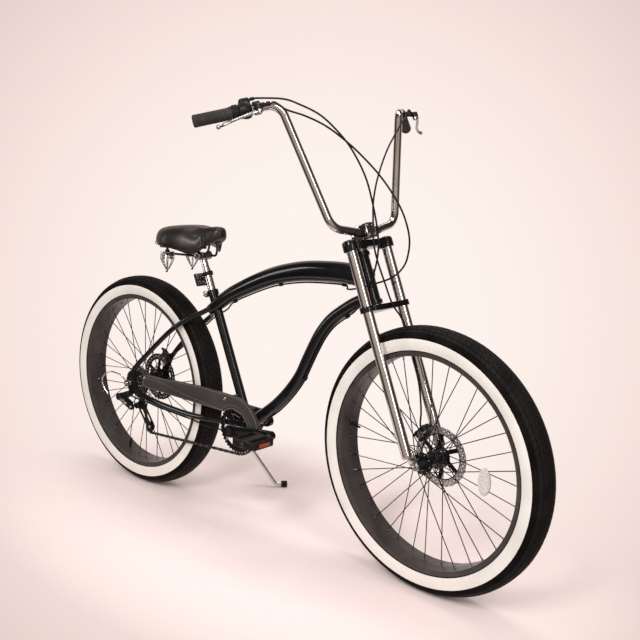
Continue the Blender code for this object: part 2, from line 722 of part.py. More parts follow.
def rear_axle(parent):
    """Axle through both dropouts, with a nut and a washer outside each."""
    outer = REAR_DROPOUT_INNER + REAR_DROPOUT_THICKNESS + GAP
    end = outer + 0.016
    profile = [(0, end), (AXLE_RADIUS, end), (AXLE_RADIUS, rear_nut_face()), (0.0085, rear_nut_face()),
               (0.0115, outer), (AXLE_RADIUS, outer)]
    profile += [(radius, -height) for radius, height in reversed(profile)]
    return turned("rear_axle", profile, "silver", parent, sideways(REAR_AXLE), 12)


# Saddle and post

def seat_collar(parent):
    """Clamp round the seat tube's top with its bolted ears behind."""
    bore = bore_for(SEAT_TUBE_RADIUS)
    item = turned("seat_collar", ring_profile(bore, bore + 0.0035, -0.018, -0.001), "black_paint", parent,
                  seat_frame(SEAT_TUBE_LENGTH), ROUND_STEPS, closed=True)
    ears = box("seat_collar_ears", (0.013, 0.016, 0.013), "black_paint", parent,
               seat_frame(SEAT_TUBE_LENGTH) @ Matrix.Translation((-bore - 0.0055, 0, -0.0095)))
    hole = turned("seat_collar_bore", rod_profile(bore, -0.03, 0.02), "steel", parent, seat_frame(SEAT_TUBE_LENGTH))
    return cut(joined(item, ears), hole)


def seat_post(parent):
    low = SEAT_TUBE_LENGTH - POST_INSERT + GAP
    profile = [(0, POST_TOP), (0.011, POST_TOP), (0.011, POST_TOP - 0.045), (POST_RADIUS, POST_TOP - 0.052),
               (POST_RADIUS, low), (0, low)]
    post = turned("seat_post", profile, "chrome", parent, along(BB, seat_point(1)), ROUND_STEPS)
    return cut(joined(post, seat_clamp(parent)), rail_tube(parent, "seat_clamp_slots", RAIL_RADIUS + 2 * GAP))


SPRING_ROUTE = (
    # height, radius and angle in degrees down one spring
    (0.7965, 0.0210, 0), (0.7830, 0.0210, 540), (0.7440, 0.0040, 1080))
SADDLE_SECTIONS = (
    # x, half width, underside z and top z from the tail to the nose
    (0.118, 0.060, 0.836, 0.862), (0.135, 0.095, 0.822, 0.880), (0.170, 0.113, 0.812, 0.888),
    (0.215, 0.108, 0.806, 0.887), (0.255, 0.080, 0.808, 0.882), (0.290, 0.052, 0.815, 0.880),
    (0.330, 0.036, 0.822, 0.882), (0.368, 0.031, 0.830, 0.882), (0.388, 0.020, 0.842, 0.874))


def saddle(parent):
    """Padded saddle as a loft of rounded sections from tail to nose."""
    sides = 14
    mesh = bpy.data.meshes.new("saddle")
    work = bmesh.new()
    loops = []
    for x, half, low, high in SADDLE_SECTIONS:
        loop = []
        for k in range(sides):
            angle = 2 * math.pi * k / sides
            y = half * math.copysign(abs(math.cos(angle)) ** 0.8, math.cos(angle))
            lift = math.sin(angle)
            z = (low + high) / 2 + (high - low) / 2 * math.copysign(abs(lift) ** 0.8, lift)
            loop.append(work.verts.new((x, y, z)))
        loops.append(loop)
    for one, two in zip(loops, loops[1:]):
        for k in range(sides):
            work.faces.new((one[k], one[(k + 1) % sides], two[(k + 1) % sides], two[k]))
    work.faces.new(loops[0][::-1])
    work.faces.new(loops[-1])
    bmesh.ops.recalc_face_normals(work, faces=work.faces)
    work.to_mesh(mesh)
    work.free()
    return place_object("saddle", mesh, "black_leather", parent)


def rail_tube(parent, name, radius):
    """Rail loop under the saddle, from both springs round the clamp to the nose."""
    half = [(SPRING_PLACE[0], SPRING_PLACE[1], RAIL_HEIGHT + 0.001), (0.215, 0.045, RAIL_HEIGHT + 0.001),
            (0.262, 0.024, RAIL_HEIGHT), (0.300, 0.022, RAIL_HEIGHT), (0.330, 0.020, RAIL_HEIGHT + 0.001),
            (0.343, 0.016, 0.8075), (0.348, 0.008, 0.8190), (0.349, 0.0, 0.8226)]
    loop = half + [(x, -y, z) for x, y, z in reversed(half[:-1])]
    return meshed(tube(name, sag_path(loop, 0.0008), radius, "chrome", parent, 6))


def saddle_rails(parent):
    springs = [*saddle_spring(parent, 1, "left"), *saddle_spring(parent, -1, "right")]
    return joined(rail_tube(parent, "saddle_rails", RAIL_RADIUS), *springs)


def seat_clamp(parent):
    """Clamp at the post's top that grips both rails."""
    top = seat_point(POST_TOP)
    return box("seat_clamp", (0.040, 0.056, 0.020), "silver", parent,
               Matrix.Translation((top.x + 0.004, 0, RAIL_HEIGHT)), bevel=0.004)


def saddle_spring(parent, side, word):
    """Coils at the rail's height that taper down to a bolt, which also carries the saddle's base."""
    x, y = SPRING_PLACE[0], SPRING_PLACE[1] * side
    rows = []
    for one, two in zip(SPRING_ROUTE, SPRING_ROUTE[1:]):
        steps = round((two[2] - one[2]) / 60)
        for step in range(steps):
            share = step / steps
            height, radius, angle = (a + (b - a) * share for a, b in zip(one, two))
            rows.append((x + radius * math.cos(math.radians(angle)), y + radius * math.sin(math.radians(angle)), height))
    coil = meshed(tube("saddle_coil_" + word, rows, 0.0028, "chrome", parent, 6))
    bolt = rod_between("saddle_bolt_" + word, (x, y, SPRING_ROUTE[-1][0] - 0.006), (x, y, SPRING_TOP), 0.0042, "chrome",
                       parent, 8)
    return coil, bolt


def rear_reflector(parent):
    """Square reflector behind the post, on a band round it."""
    back = Vector((-SEAT_UP.z, 0, SEAT_UP.x))
    centre = seat_point(SEAT_TUBE_LENGTH + 0.052)
    item = box("rear_reflector", (0.012, 0.042, 0.040), "black_plastic", parent,
               Matrix.Translation(centre + 0.034 * back - 0.018 * SEAT_UP), bevel=0.003)
    band_low = SEAT_TUBE_LENGTH + 0.046
    band = turned("rear_reflector_band", ring_profile(bore_for(POST_RADIUS), POST_RADIUS + 0.004, band_low, band_low + 0.012),
                  "black_plastic", parent, along(BB, seat_point(1)), ROUND_STEPS, closed=True)
    arm = rod_between("rear_reflector_arm", centre + 0.0145 * back, centre + 0.034 * back - 0.008 * SEAT_UP, 0.004,
                      "black_plastic", parent, 8)
    return joined(item, band, arm)


# Drive train

def belt(circles, sag):
    """Closed route round circles of (x, z, radius, turn), as tangents and arcs whose chords stay within sag."""
    spans = []
    for one, two in zip(circles, circles[1:] + circles[:1]):
        start, end = Vector(one[:2]), Vector(two[:2])
        gap = end - start
        heading = math.atan2(gap.y, gap.x)
        spread = math.acos((one[2] * one[3] - two[2] * two[3]) / gap.length)
        angle_one = heading + spread
        leave = start + one[2] * one[3] * Vector((math.cos(angle_one), math.sin(angle_one)))
        arrive = end + two[2] * two[3] * Vector((math.cos(angle_one), math.sin(angle_one)))
        spans.append((leave, arrive))
    points = []
    for index, (x, z, radius, turn) in enumerate(circles):
        arrive = spans[index - 1][1] - Vector((x, z))
        leave = spans[index][0] - Vector((x, z))
        first = math.atan2(arrive.y, arrive.x)
        sweep = (math.atan2(leave.y, leave.x) - first) % (2 * math.pi)
        if turn > 0:
            sweep -= 2 * math.pi
        steps = math.ceil(abs(sweep) / (2 * math.acos(1 - sag / radius)))
        points += [(x + radius * math.cos(first + sweep * k / steps), z + radius * math.sin(first + sweep * k / steps))
                   for k in range(steps + 1)]
    return points


def chain_route():
    ring = pitch_radius(RING_TEETH)
    cog = pitch_radius(COG_TEETH[DRIVEN_COG])
    return belt([(0, WHEEL_RADIUS, cog, 1), (BB_X, BB_Z, ring, 1), (*TENSION_PULLEY, PULLEY_RADIUS, 1),
                 (*GUIDE_PULLEY, PULLEY_RADIUS, -1)], 0.0004)


def chain(parent):
    """Roller chain as one loop of its plates' height and width."""
    points = chain_route()
    mesh = bpy.data.meshes.new("chain")
    work = bmesh.new()
    loops = []
    for index, point in enumerate(points):
        before, after = Vector(points[index - 1]), Vector(points[(index + 1) % len(points)])
        across = Vector((-(after - before).y, (after - before).x)).normalized()
        loop = []
        for reach, side in ((CHAIN_HALF_HEIGHT, CHAIN_HALF_WIDTH), (CHAIN_HALF_HEIGHT, -CHAIN_HALF_WIDTH),
                            (-CHAIN_HALF_HEIGHT, -CHAIN_HALF_WIDTH), (-CHAIN_HALF_HEIGHT, CHAIN_HALF_WIDTH)):
            loop.append(work.verts.new((point[0] + across.x * reach, -CHAIN_LINE + side, point[1] + across.y * reach)))
        loops.append(loop)
    for index, one in enumerate(loops):
        two = loops[(index + 1) % len(loops)]
        for k in range(4):
            work.faces.new((one[k], one[(k + 1) % 4], two[(k + 1) % 4], two[k]))
    bmesh.ops.recalc_face_normals(work, faces=work.faces)
    work.to_mesh(mesh)
    work.free()
    return place_object("chain", mesh, "steel", parent)


def derailleur(parent):
    """Derailleur body hung from the hanger, and its cage with two pulleys."""
    hanger_y = -(REAR_DROPOUT_INNER + REAR_DROPOUT_THICKNESS + GAP)
    pivot = Vector((0.0065, 0, 0.3155))
    outline = strap_outline((pivot.x, pivot.z), 0.0105, (-0.030, 0.301), 0.010)
    body = plate("derailleur", [outline], 0.012, "black_plastic", parent,
                 upright_plane((0, hanger_y - 0.006, 0)))
    link = plate("derailleur_link", [strap_outline((-0.030, 0.301), 0.009, GUIDE_PULLEY, 0.011)], 0.010,
                 "black_plastic", parent, upright_plane((0, hanger_y - 0.016, 0)))
    body = joined(meshed(body), meshed(link))
    inner = -CHAIN_LINE - 0.0052
    cage_plate = plate("derailleur_near_plate", [strap_outline(GUIDE_PULLEY, 0.0125, TENSION_PULLEY, 0.0125)], 0.002,
                       "black_plastic", parent, upright_plane((0, inner - 0.001, 0)))
    far_plate = plate("derailleur_far", [strap_outline(GUIDE_PULLEY, 0.0115, TENSION_PULLEY, 0.0115)], 0.002,
                      "black_plastic", parent, upright_plane((0, -CHAIN_LINE + 0.0052 + 0.001, 0)))
    tools = [meshed(cage_plate), meshed(far_plate)]
    for word, centre in (("guide", GUIDE_PULLEY), ("tension", TENSION_PULLEY)):
        tip = PULLEY_RADIUS - TOOTH_CLEARANCE
        profile = [(0, 0.0055), (0.004, 0.0055), (0.004, 0.0012), (tip, 0.0012), (tip, -0.0012), (0.004, -0.0012),
                   (0.004, -0.0055), (0, -0.0055)]
        tools.append(turned("derailleur_pulley_" + word, profile, "black_plastic", parent,
                            sideways((centre[0], -CHAIN_LINE, centre[1])), 12))
    stub_start = Vector((GUIDE_PULLEY[0], inner - 0.0015, GUIDE_PULLEY[1]))
    stub_end = Vector((GUIDE_PULLEY[0], hanger_y - 0.014, GUIDE_PULLEY[1]))
    tools.append(rod_between("derailleur_stub", stub_start, stub_end, 0.006, "black_plastic", parent, 12))
    return joined(body, *tools)


def chainring(parent):
    """Toothed ring with five round windows."""
    pitch = pitch_radius(RING_TEETH)
    tip = pitch - TOOTH_CLEARANCE
    root = tip - 0.0044
    outline = []
    for tooth in range(RING_TEETH):
        for share, radius in ((-0.36, root), (-0.10, tip), (0.10, tip)):
            angle = 2 * math.pi * (tooth + share) / RING_TEETH
            outline.append((radius * math.cos(angle), radius * math.sin(angle)))
    holes = [circle_outline(0, 0, bore_for(SPINDLE_RADIUS))]
    for window in range(5):
        angle = 2 * math.pi * window / 5 + 0.3
        holes.append(circle_outline(0.041 * math.cos(angle), 0.041 * math.sin(angle), 0.0135, 10))
    return plate("chainring", [outline] + holes, 0.003, "black_paint", parent, upright_plane((0, -CHAIN_LINE, 0)))


def crank_arm(parent, side, word):
    """Crank arm along +X of its parent, with a boss at each end."""
    outline = strap_outline((0, 0), 0.0185, (CRANK_LENGTH, 0), 0.0125)
    holes = [circle_outline(0, 0, bore_for(SPINDLE_RADIUS))]
    middle = side * (CRANK_INNER + CRANK_THICKNESS / 2)
    arm = meshed(plate("crank_arm_" + word, [outline] + holes, CRANK_THICKNESS, "black_paint", parent,
                       upright_plane((0, middle, 0))))
    return joined(arm, pedal_axle(parent, side, word))


def spindle(parent):
    """Spindle from crank to crank, with the collar that carries the ring."""
    end = CRANK_INNER + CRANK_THICKNESS
    ring_face = -CHAIN_LINE - 0.0015 - GAP
    profile = [(0, end), (SPINDLE_RADIUS, end), (SPINDLE_RADIUS, ring_face), (0.0165, ring_face),
               (0.0165, -CRANK_INNER + GAP), (SPINDLE_RADIUS, -CRANK_INNER + GAP), (SPINDLE_RADIUS, -end), (0, -end)]
    return turned("spindle", profile, "steel", parent, sideways((0, 0, 0)))


def pedal_axle(parent, side, word):
    start = Vector((CRANK_LENGTH, side * (CRANK_INNER + 0.004), 0))
    end = Vector((CRANK_LENGTH, side * (PEDAL_INNER + PEDAL_WIDTH - 0.006), 0))
    return rod_between("pedal_axle_" + word, start, end, PEDAL_AXLE_RADIUS, "steel", parent, 12)


def pedal(parent, side, word):
    """Platform pedal with an open window before and behind its barrel."""
    half_x, half_y = PEDAL_LENGTH / 2, PEDAL_WIDTH / 2
    trim = 0.010
    outline = [(half_x, half_y - trim), (half_x - trim, half_y), (-half_x + trim, half_y), (-half_x, half_y - trim),
               (-half_x, -half_y + trim), (-half_x + trim, -half_y), (half_x - trim, -half_y), (half_x, -half_y + trim)]
    windows = []
    for sign in (1, -1):
        xs = sorted((sign * 0.017, sign * (half_x - 0.009)))
        reach = half_y - 0.012
        windows.append([(xs[0], -reach), (xs[1], -reach), (xs[1], reach), (xs[0], reach)])
    centre = Vector((0, side * (PEDAL_INNER + half_y), 0))
    body = meshed(plate("pedal_" + word, [outline] + windows, PEDAL_HEIGHT, "black_plastic", parent,
                        Matrix.Translation(centre)))
    bore = cutting_rod("pedal_bore_" + word, centre - Vector((0, half_y + 0.01, 0)), centre + Vector((0, half_y + 0.01, 0)),
                       PEDAL_AXLE_RADIUS + 0.0006, parent, 12)
    return cut(body, bore)


def chainguard(parent):
    """Guard plate beside the chain's upper run, round the ring's top and front."""
    ring = (BB_X, BB_Z)
    outer, inner = 0.104, 0.063
    face = REAR_DROPOUT_INNER - GAP
    outline = arc_outline(*ring, outer, -12, 84, 8)
    outline += [(0.360, 0.404), (0.200, 0.397), (0.080, 0.392), (0.067, 0.387), (0.066, 0.378), (0.078, 0.371),
                (0.200, 0.369), (0.330, 0.360)]
    outline += arc_outline(*ring, inner, 150, -12, 10)
    flat = meshed(plate("chainguard", [outline], 0.002, "grey_guard", parent, upright_plane((0, -face + 0.001, 0))))
    arm = meshed(plate("chainguard_arm", [strap_outline((0.0745, 0.3812), 0.0050, (0.043, 0.4165), 0.0052)], 0.0014,
                       "grey_guard", parent, upright_plane((0, -face + 0.0011, 0))))
    perch = seat_point(0.098)
    peg = rod_between("chainguard_peg", (perch.x, -SEAT_TUBE_RADIUS + 0.004, perch.z), (perch.x, -face + 0.001, perch.z),
                      0.0045, "grey_guard", parent, 10)
    stay = meshed(tube("chainguard_stay_cut", smooth_path(mirrored(SEAT_STAY_ROUTE, -1), STAY_POINTS), SEAT_STAY_RADIUS + GAP,
                       "black_paint", parent, 8))
    post = cutting_rod("chainguard_seat_cut", seat_point(0.05), seat_point(0.15), bore_for(SEAT_TUBE_RADIUS), parent)
    rail = arc_outline(*ring, outer - 0.0005, -11, 84, 8) + [(0.360, 0.4035), (0.200, 0.3965)]
    inside = arc_outline(*ring, outer - 0.0025, -11, 84, 8) + [(0.360, 0.4015), (0.200, 0.3945)]
    depth = 0.010
    lip = meshed(plate("chainguard_lip", [rail + inside[::-1]], depth, "grey_guard", parent,
                       upright_plane((0, -face + depth / 2 + 0.0005, 0))))
    return cut(joined(flat, lip, arm, peg), stay, post)


def guard_hoop(parent):
    """Wire hoop that shields the derailleur, on an eye round the axle's end."""
    y = -(rear_nut_face() + GAP + 0.0015)
    eye = turned("derailleur_guard", ring_profile(bore_for(AXLE_RADIUS), 0.010, -0.0015, 0.0015), "chrome", parent,
                 sideways((0, y, WHEEL_RADIUS)), 12, closed=True)
    points = [(-0.004, y, WHEEL_RADIUS + 0.008), (-0.022, y - 0.008, 0.378), (-0.062, y - 0.020, 0.383),
              (-0.094, y - 0.025, 0.361), (-0.094, y - 0.025, 0.333), (-0.072, y - 0.021, 0.305)]
    wire = meshed(tube("derailleur_guard_wire", smooth_path(points, 12), 0.0022, "chrome", parent, 6))
    return joined(eye, wire)


# Brakes, stand and cables

def caliper(name, parent, hub, angle_deg, rotor_y, outward, carrier):
    """Disc caliper over the rotor's edge, open for the disc and seated on its carrier's tube."""
    inner_y, outer_y = rotor_y - 0.012, rotor_y + outward
    item = box(name, (CALIPER_DEPTH, outer_y - inner_y, CALIPER_LENGTH), "black_paint", parent,
               hub @ Matrix.Rotation(math.radians(-angle_deg), 4, "Y")
               @ Matrix.Translation((CALIPER_RADIUS, (inner_y + outer_y) / 2, 0)), bevel=0.003)
    slot = turned(name + "_slot", rod_profile(ROTOR_RADIUS + 0.004, -0.0025, 0.0025), "steel", parent,
                  hub @ sideways((0, rotor_y, 0)), 24)
    return cut(item, slot, carrier)


def front_caliper(parent):
    foot = (LEG_OFFSET, LEG_HALF_SPACING, 0)
    leg = cutting_rod("front_caliper_leg", foot, (foot[0], foot[1], HEAD_BOTTOM), bore_for(LEG_RADIUS), parent)
    return caliper("front_caliper", parent, front_hub_place(), FRONT_CALIPER_DEG, FRONT_ROTOR_Y, 0.016, leg)


def rear_caliper(parent):
    stay = meshed(tube("rear_caliper_stay", smooth_path(SEAT_STAY_ROUTE, STAY_POINTS), SEAT_STAY_RADIUS + GAP, "black_paint",
                       parent, 8))
    return caliper("rear_caliper", parent, Matrix.Translation(REAR_AXLE), REAR_CALIPER_DEG, REAR_ROTOR_Y, 0.010, stay)


def stand_bracket(parent):
    """Plate under the left chain stay, with a post down to the stand's socket."""
    stay = CHAIN_STAY_ROUTE[STAND_STAY_ROW]
    top = stay[2] - CHAIN_STAY_RADIUS - 2 * GAP
    bar = box("stand_bracket", (0.040, 0.022, 0.010), "black_paint", parent,
              Matrix.Translation((STAND_PIVOT[0], stay[1], top - 0.005)), bevel=0.002)
    inward = -stand_axis()
    face = Vector(STAND_PIVOT) + inward * (STAND_HEAD_HALF + GAP)
    heel = face + inward * 0.020
    socket = rod_between("stand_socket", face, heel, 0.011, "black_paint", parent)
    post = rod_between("stand_post", heel, (heel.x, heel.y, top - 0.004), 0.007, "black_paint", parent)
    return joined(bar, post, socket)


def stand_direction():
    """Unit vector from the stand's pivot down its leg, and the ankle's place."""
    drop = ground_height(STAND_FOOT[1]) + STAND_FOOT_RADIUS
    ankle = Vector((STAND_FOOT[0], STAND_FOOT[1] - 0.012, drop))
    return (ankle - Vector(STAND_PIVOT)).normalized(), ankle


def stand_axis():
    """Axis that swings the leg from parked to folded, by the right-hand rule."""
    return stand_direction()[0].cross(Vector(STAND_FOLDED).normalized()).normalized()


def ground_height(y):
    """Height of the ground beside the upright bicycle, y to its left, once it leans."""
    return y * math.tan(math.radians(LEAN_DEG))


def stand_leg(parent):
    """Chrome leg with a round head on its pivot, bent clear of the pedal's sweep and again at the foot."""
    ankle = stand_direction()[1]
    origin = Vector(STAND_PIVOT)
    axis = stand_axis()
    end = Vector((ankle.x + 0.012, ankle.y + 0.014, ankle.z))
    knee = Vector(STAND_KNEE) - origin
    route = rounded_path([knee.normalized() * 0.004, knee, ankle - origin, end - origin], [STAND_KNEE_BEND, 0.010])
    leg = meshed(tube("stand_leg", route, STAND_LEG_RADIUS, "chrome", parent, TUBE_SIDES))
    head = rod_between("stand_head", -axis * STAND_HEAD_HALF, axis * STAND_HEAD_HALF, STAND_HEAD_RADIUS, "chrome", parent)
    run = (end - ankle).normalized()
    heel = end - origin + run * GAP
    foot = rod_between("stand_foot", heel, heel + run * 0.020, STAND_FOOT_RADIUS, "black_plastic", parent)
    return joined(leg, head), foot


# Fork and handlebar, in the steering empty's frame: X forward, Y left, Z up its axis

def crown_outline(end_radius, middle_radius):
    """Crown bar from leg to leg with a boss round the steerer."""
    ends = LEG_HALF_SPACING
    right = arc_outline(LEG_OFFSET, -ends, end_radius, 150, 380, 6)
    front = [(LEG_OFFSET + 0.012, -ends + 0.030), (LEG_OFFSET + 0.010, 0), (LEG_OFFSET + 0.012, ends - 0.030)]
    left = arc_outline(LEG_OFFSET, ends, end_radius, -20, 210, 6)
    back = arc_outline(0, 0, middle_radius, 120, 240, 4)
    return right + front + left + back


def crown_lower(parent):
    """Lower crown bar with the steerer fixed in it."""
    middle = CROWN_LOWER_TOP - CROWN_LOWER_HEIGHT / 2
    holes = [circle_outline(LEG_OFFSET, y, bore_for(LEG_RADIUS)) for y in (-LEG_HALF_SPACING, LEG_HALF_SPACING)]
    bar = meshed(plate("crown_lower", [crown_outline(0.0195, 0.024)] + holes, CROWN_LOWER_HEIGHT, "black_paint",
                       parent, Matrix.Translation((0, 0, middle))))
    return joined(bar, steerer(parent))


def crown_upper(parent):
    """Upper crown with a domed hump over each leg."""
    middle = CROWN_UPPER_BOTTOM + CROWN_UPPER_HEIGHT / 2
    bar = meshed(plate("crown_upper", [crown_outline(0.0195, 0.022)], CROWN_UPPER_HEIGHT, "black_paint", parent,
                       Matrix.Translation((0, 0, middle))))
    top = CROWN_UPPER_HEIGHT + 0.005
    humps = []
    for word, y in (("right", -LEG_HALF_SPACING), ("left", LEG_HALF_SPACING)):
        profile = [(0, top), (0.012, top), (0.018, top - 0.003), (0.0205, top - 0.008), (0.0205, -0.006), (0, -0.006)]
        humps.append(turned("crown_hump_" + word, profile, "black_paint", parent,
                            Matrix.Translation((LEG_OFFSET, y, CROWN_UPPER_BOTTOM)), ROUND_STEPS))
    return joined(bar, *humps)


def steerer(parent):
    """Steerer between the crowns, with a race at each headset cup."""
    low, high = CROWN_LOWER_TOP - 0.005, CROWN_UPPER_BOTTOM - GAP
    race = 0.0205
    profile = [(0, high), (race, high), (race, HEAD_BOTTOM + HEAD_LENGTH + GAP),
               (STEERER_RADIUS, HEAD_BOTTOM + HEAD_LENGTH + GAP), (STEERER_RADIUS, HEAD_BOTTOM - GAP),
               (race, HEAD_BOTTOM - GAP), (race, low), (0, low)]
    return turned("steerer", profile, "silver", parent, Matrix(), ROUND_STEPS)


def fork_leg(parent, side, word):
    """Chrome leg from the upper crown to a dropout plate at its foot."""
    top = CROWN_UPPER_BOTTOM - 0.006 - GAP
    y = side * LEG_HALF_SPACING
    profile = [(0, top), (LEG_RADIUS, top), (LEG_RADIUS, LEG_BOTTOM + 0.006), (LEG_RADIUS - 0.002, LEG_BOTTOM),
               (0, LEG_BOTTOM)]
    leg = turned("fork_leg_" + word, profile, "chrome", parent, Matrix.Translation((LEG_OFFSET, y, 0)), ROUND_STEPS)
    outline = [(LEG_OFFSET - 0.009, 0.045), (LEG_OFFSET - 0.009, 0.012)]
    outline += arc_outline(FORK_OFFSET, 0, 0.0125, 200, 380, 8)
    outline += [(LEG_OFFSET + 0.012, 0.045)]
    hole = circle_outline(FORK_OFFSET, 0, bore_for(AXLE_RADIUS))
    middle = side * (FORK_DROPOUT_INNER + DROPOUT_THICKNESS / 2)
    foot = meshed(plate("fork_dropout_" + word, [outline, hole], DROPOUT_THICKNESS, "chrome", parent,
                        upright_plane((0, middle, 0))))
    return joined(leg, foot)


def front_axle(parent):
    """Axle through both fork feet, with a nut and a washer outside each."""
    outer = FORK_DROPOUT_INNER + DROPOUT_THICKNESS + GAP
    end = outer + 0.012
    profile = [(0, end), (AXLE_RADIUS, end), (AXLE_RADIUS, outer + 0.008), (0.0085, outer + 0.008),
               (0.0105, outer), (AXLE_RADIUS, outer)]
    profile += [(radius, -height) for radius, height in reversed(profile)]
    return turned("front_axle", profile, "silver", parent, sideways((FORK_OFFSET, 0, 0)), 12)


def bar_route():
    """Whole handlebar from the right end to the left, without the grips' caps."""
    centre = (BAR_FORWARD, 0, BAR_RISE_START)
    left = [BAR_LOW_CORNER, BAR_TOP_CORNER, BAR_END]
    right = [(x, -y, z) for x, y, z in reversed(left)]
    ease = 0.035
    corners = right + [(BAR_FORWARD, -ease, BAR_RISE_START), (BAR_FORWARD, ease, BAR_RISE_START)] + left
    return rounded_path(corners, [BAR_TOP_BEND, BAR_LOW_BEND, 0.10, 0.10, BAR_LOW_BEND, BAR_TOP_BEND], 3)


def handlebar(parent):
    return tube("handlebar", bar_route(), BAR_RADIUS, "chrome", parent, TUBE_SIDES)


def grip_place(side, distance):
    """Place on the bar's end run, its Z axis pointing outward, distance in from the end."""
    end = Vector((BAR_END[0], BAR_END[1] * side, BAR_END[2]))
    corner = Vector((BAR_TOP_CORNER[0], BAR_TOP_CORNER[1] * side, BAR_TOP_CORNER[2]))
    out = (end - corner).normalized()
    return along(end - out * distance, end + out)


def grip(parent, side, word, length):
    """Rubber grip closed over the bar's end."""
    cap = 0.004
    bore = bore_for(BAR_RADIUS)
    profile = [(0, cap), (GRIP_RADIUS - 0.003, cap), (GRIP_RADIUS, cap - 0.003), (GRIP_RADIUS, -length + 0.004),
               (GRIP_RADIUS + 0.0015, -length + 0.002), (GRIP_RADIUS + 0.0015, -length), (bore, -length), (bore, GAP),
               (0, GAP)]
    return turned("grip_" + word, profile, "black_plastic", parent, grip_place(side, 0))


def twist_shifter(parent):
    """Twist ring beside the right grip, with its housing and gear window."""
    bore = bore_for(BAR_RADIUS)
    start = -GRIP_LENGTH - 0.0006
    rows = [(0.0175, 0.0), (0.0185, -0.010), (0.0165, -0.016), (0.0185, -0.022), (0.0215, -0.034), (0.0200, -0.044),
            (0.0160, -0.048)]
    profile = [(bore, start)] + [(radius, start + height) for radius, height in rows] + [(bore, start - 0.048)]
    item = turned("twist_shifter", profile, "black_plastic", parent, grip_place(-1, 0), closed=True)
    pod = box("twist_shifter_pod", (0.026, 0.030, 0.028), "black_plastic", parent,
              grip_place(-1, 0) @ Matrix.Translation((-0.006, 0.016, start - 0.036)), bevel=0.006)
    bore_tool = turned("twist_shifter_bore", rod_profile(bore, start - 0.06, start + 0.01), "steel", parent,
                       grip_place(-1, 0))
    return cut(joined(item, pod), bore_tool)


def lever_frame(side):
    """Frame at the lever's clamp, for points only: X forward of the bar, Y down, Z outward along it."""
    place = grip_place(side, LEVER_DISTANCE)
    out = place.to_3x3().col[2].normalized()
    forward = Vector((0, 0, -side)).cross(out).normalized()
    down = out.cross(forward) * side
    return Matrix.Translation(place.translation) @ Matrix((forward, down, out)).transposed().to_4x4()


def lever_outlet(side):
    """Two points where the brake cable leaves the lever's barrel in line with it."""
    return [lever_frame(side) @ Vector((0.026, 0.004, -distance)) for distance in (0.030 + 2 * GAP, 0.042)]


def brake_lever(parent, side, word):
    """Lever clamp on the bar with its pivot boss and barrel, and the blade that turns under the boss."""
    frame = lever_frame(side)
    clamp = turned("lever_clamp_" + word, ring_profile(bore_for(BAR_RADIUS), 0.0165, -0.009, 0.009), "black_plastic",
                   parent, grip_place(side, LEVER_DISTANCE), closed=True)
    pivot = Vector((0.0385, LEVER_PIVOT_DROP, 0.001))
    up = Vector((0, 0.0135, 0))
    arm = rod_between("lever_arm_" + word, frame @ Vector((0.0145, 0.002, 0)), frame @ Vector((0.036, 0.009, 0.002)),
                      0.0070, "black_plastic", parent, 6)
    boss = rod_between("lever_boss_" + word, frame @ (pivot - up), frame @ pivot, 0.0085, "black_plastic", parent, 8)
    barrel = rod_between("lever_barrel_" + word, frame @ Vector((0.026, 0.004, 0.004)),
                         frame @ Vector((0.026, 0.004, -0.030)), 0.0055, "black_plastic", parent, 8)
    joined(clamp, arm, boss, barrel)
    points = [frame @ Vector(point[:3]) for point in smooth_path(LEVER_BLADE_ROUTE, 9)]
    blade = meshed(tube("lever_blade_" + word, points, 0.0045, "silver", parent, 6))
    eye = rod_between("lever_eye_" + word, frame @ (pivot + Vector((0, GAP, 0))), frame @ (pivot + up * 0.5), 0.0085,
                      "silver", parent, 8)
    return joined(blade, eye)


def stem(parent):
    """Stem clamped to the bar and standing on the upper crown."""
    low = CROWN_UPPER_BOTTOM + CROWN_UPPER_HEIGHT + GAP
    centre = Vector((BAR_FORWARD, 0, BAR_RISE_START))
    block = box("stem", (0.036, 0.036, 0.040), "chrome", parent, Matrix.Translation(centre), bevel=0.004)
    neck = box("stem_neck", (0.040, 0.028, 0.022), "chrome", parent,
               Matrix.Translation((0.014, 0, low + 0.020)), bevel=0.003)
    quill = turned("stem_quill", rod_profile(0.0125, low, low + 0.022), "chrome", parent, Matrix())
    reach = Vector((0, 0.03, 0))
    bore = cutting_rod("stem_bore", centre - reach, centre + reach, bore_for(BAR_RADIUS), parent)
    return cut(joined(block, neck, quill), bore)


def steering_parts(parent):
    crown_lower(parent)
    crown_upper(parent)
    stem(parent)
    handlebar(parent)
    twist_shifter(parent)
    for side, word, length in ((1, "left", LONG_GRIP_LENGTH), (-1, "right", GRIP_LENGTH)):
        fork_leg(parent, side, word)
        grip(parent, side, word, length)
        brake_lever(parent, side, word)
    front_axle(parent)
    front_caliper(parent)


# Cables, each along its real route

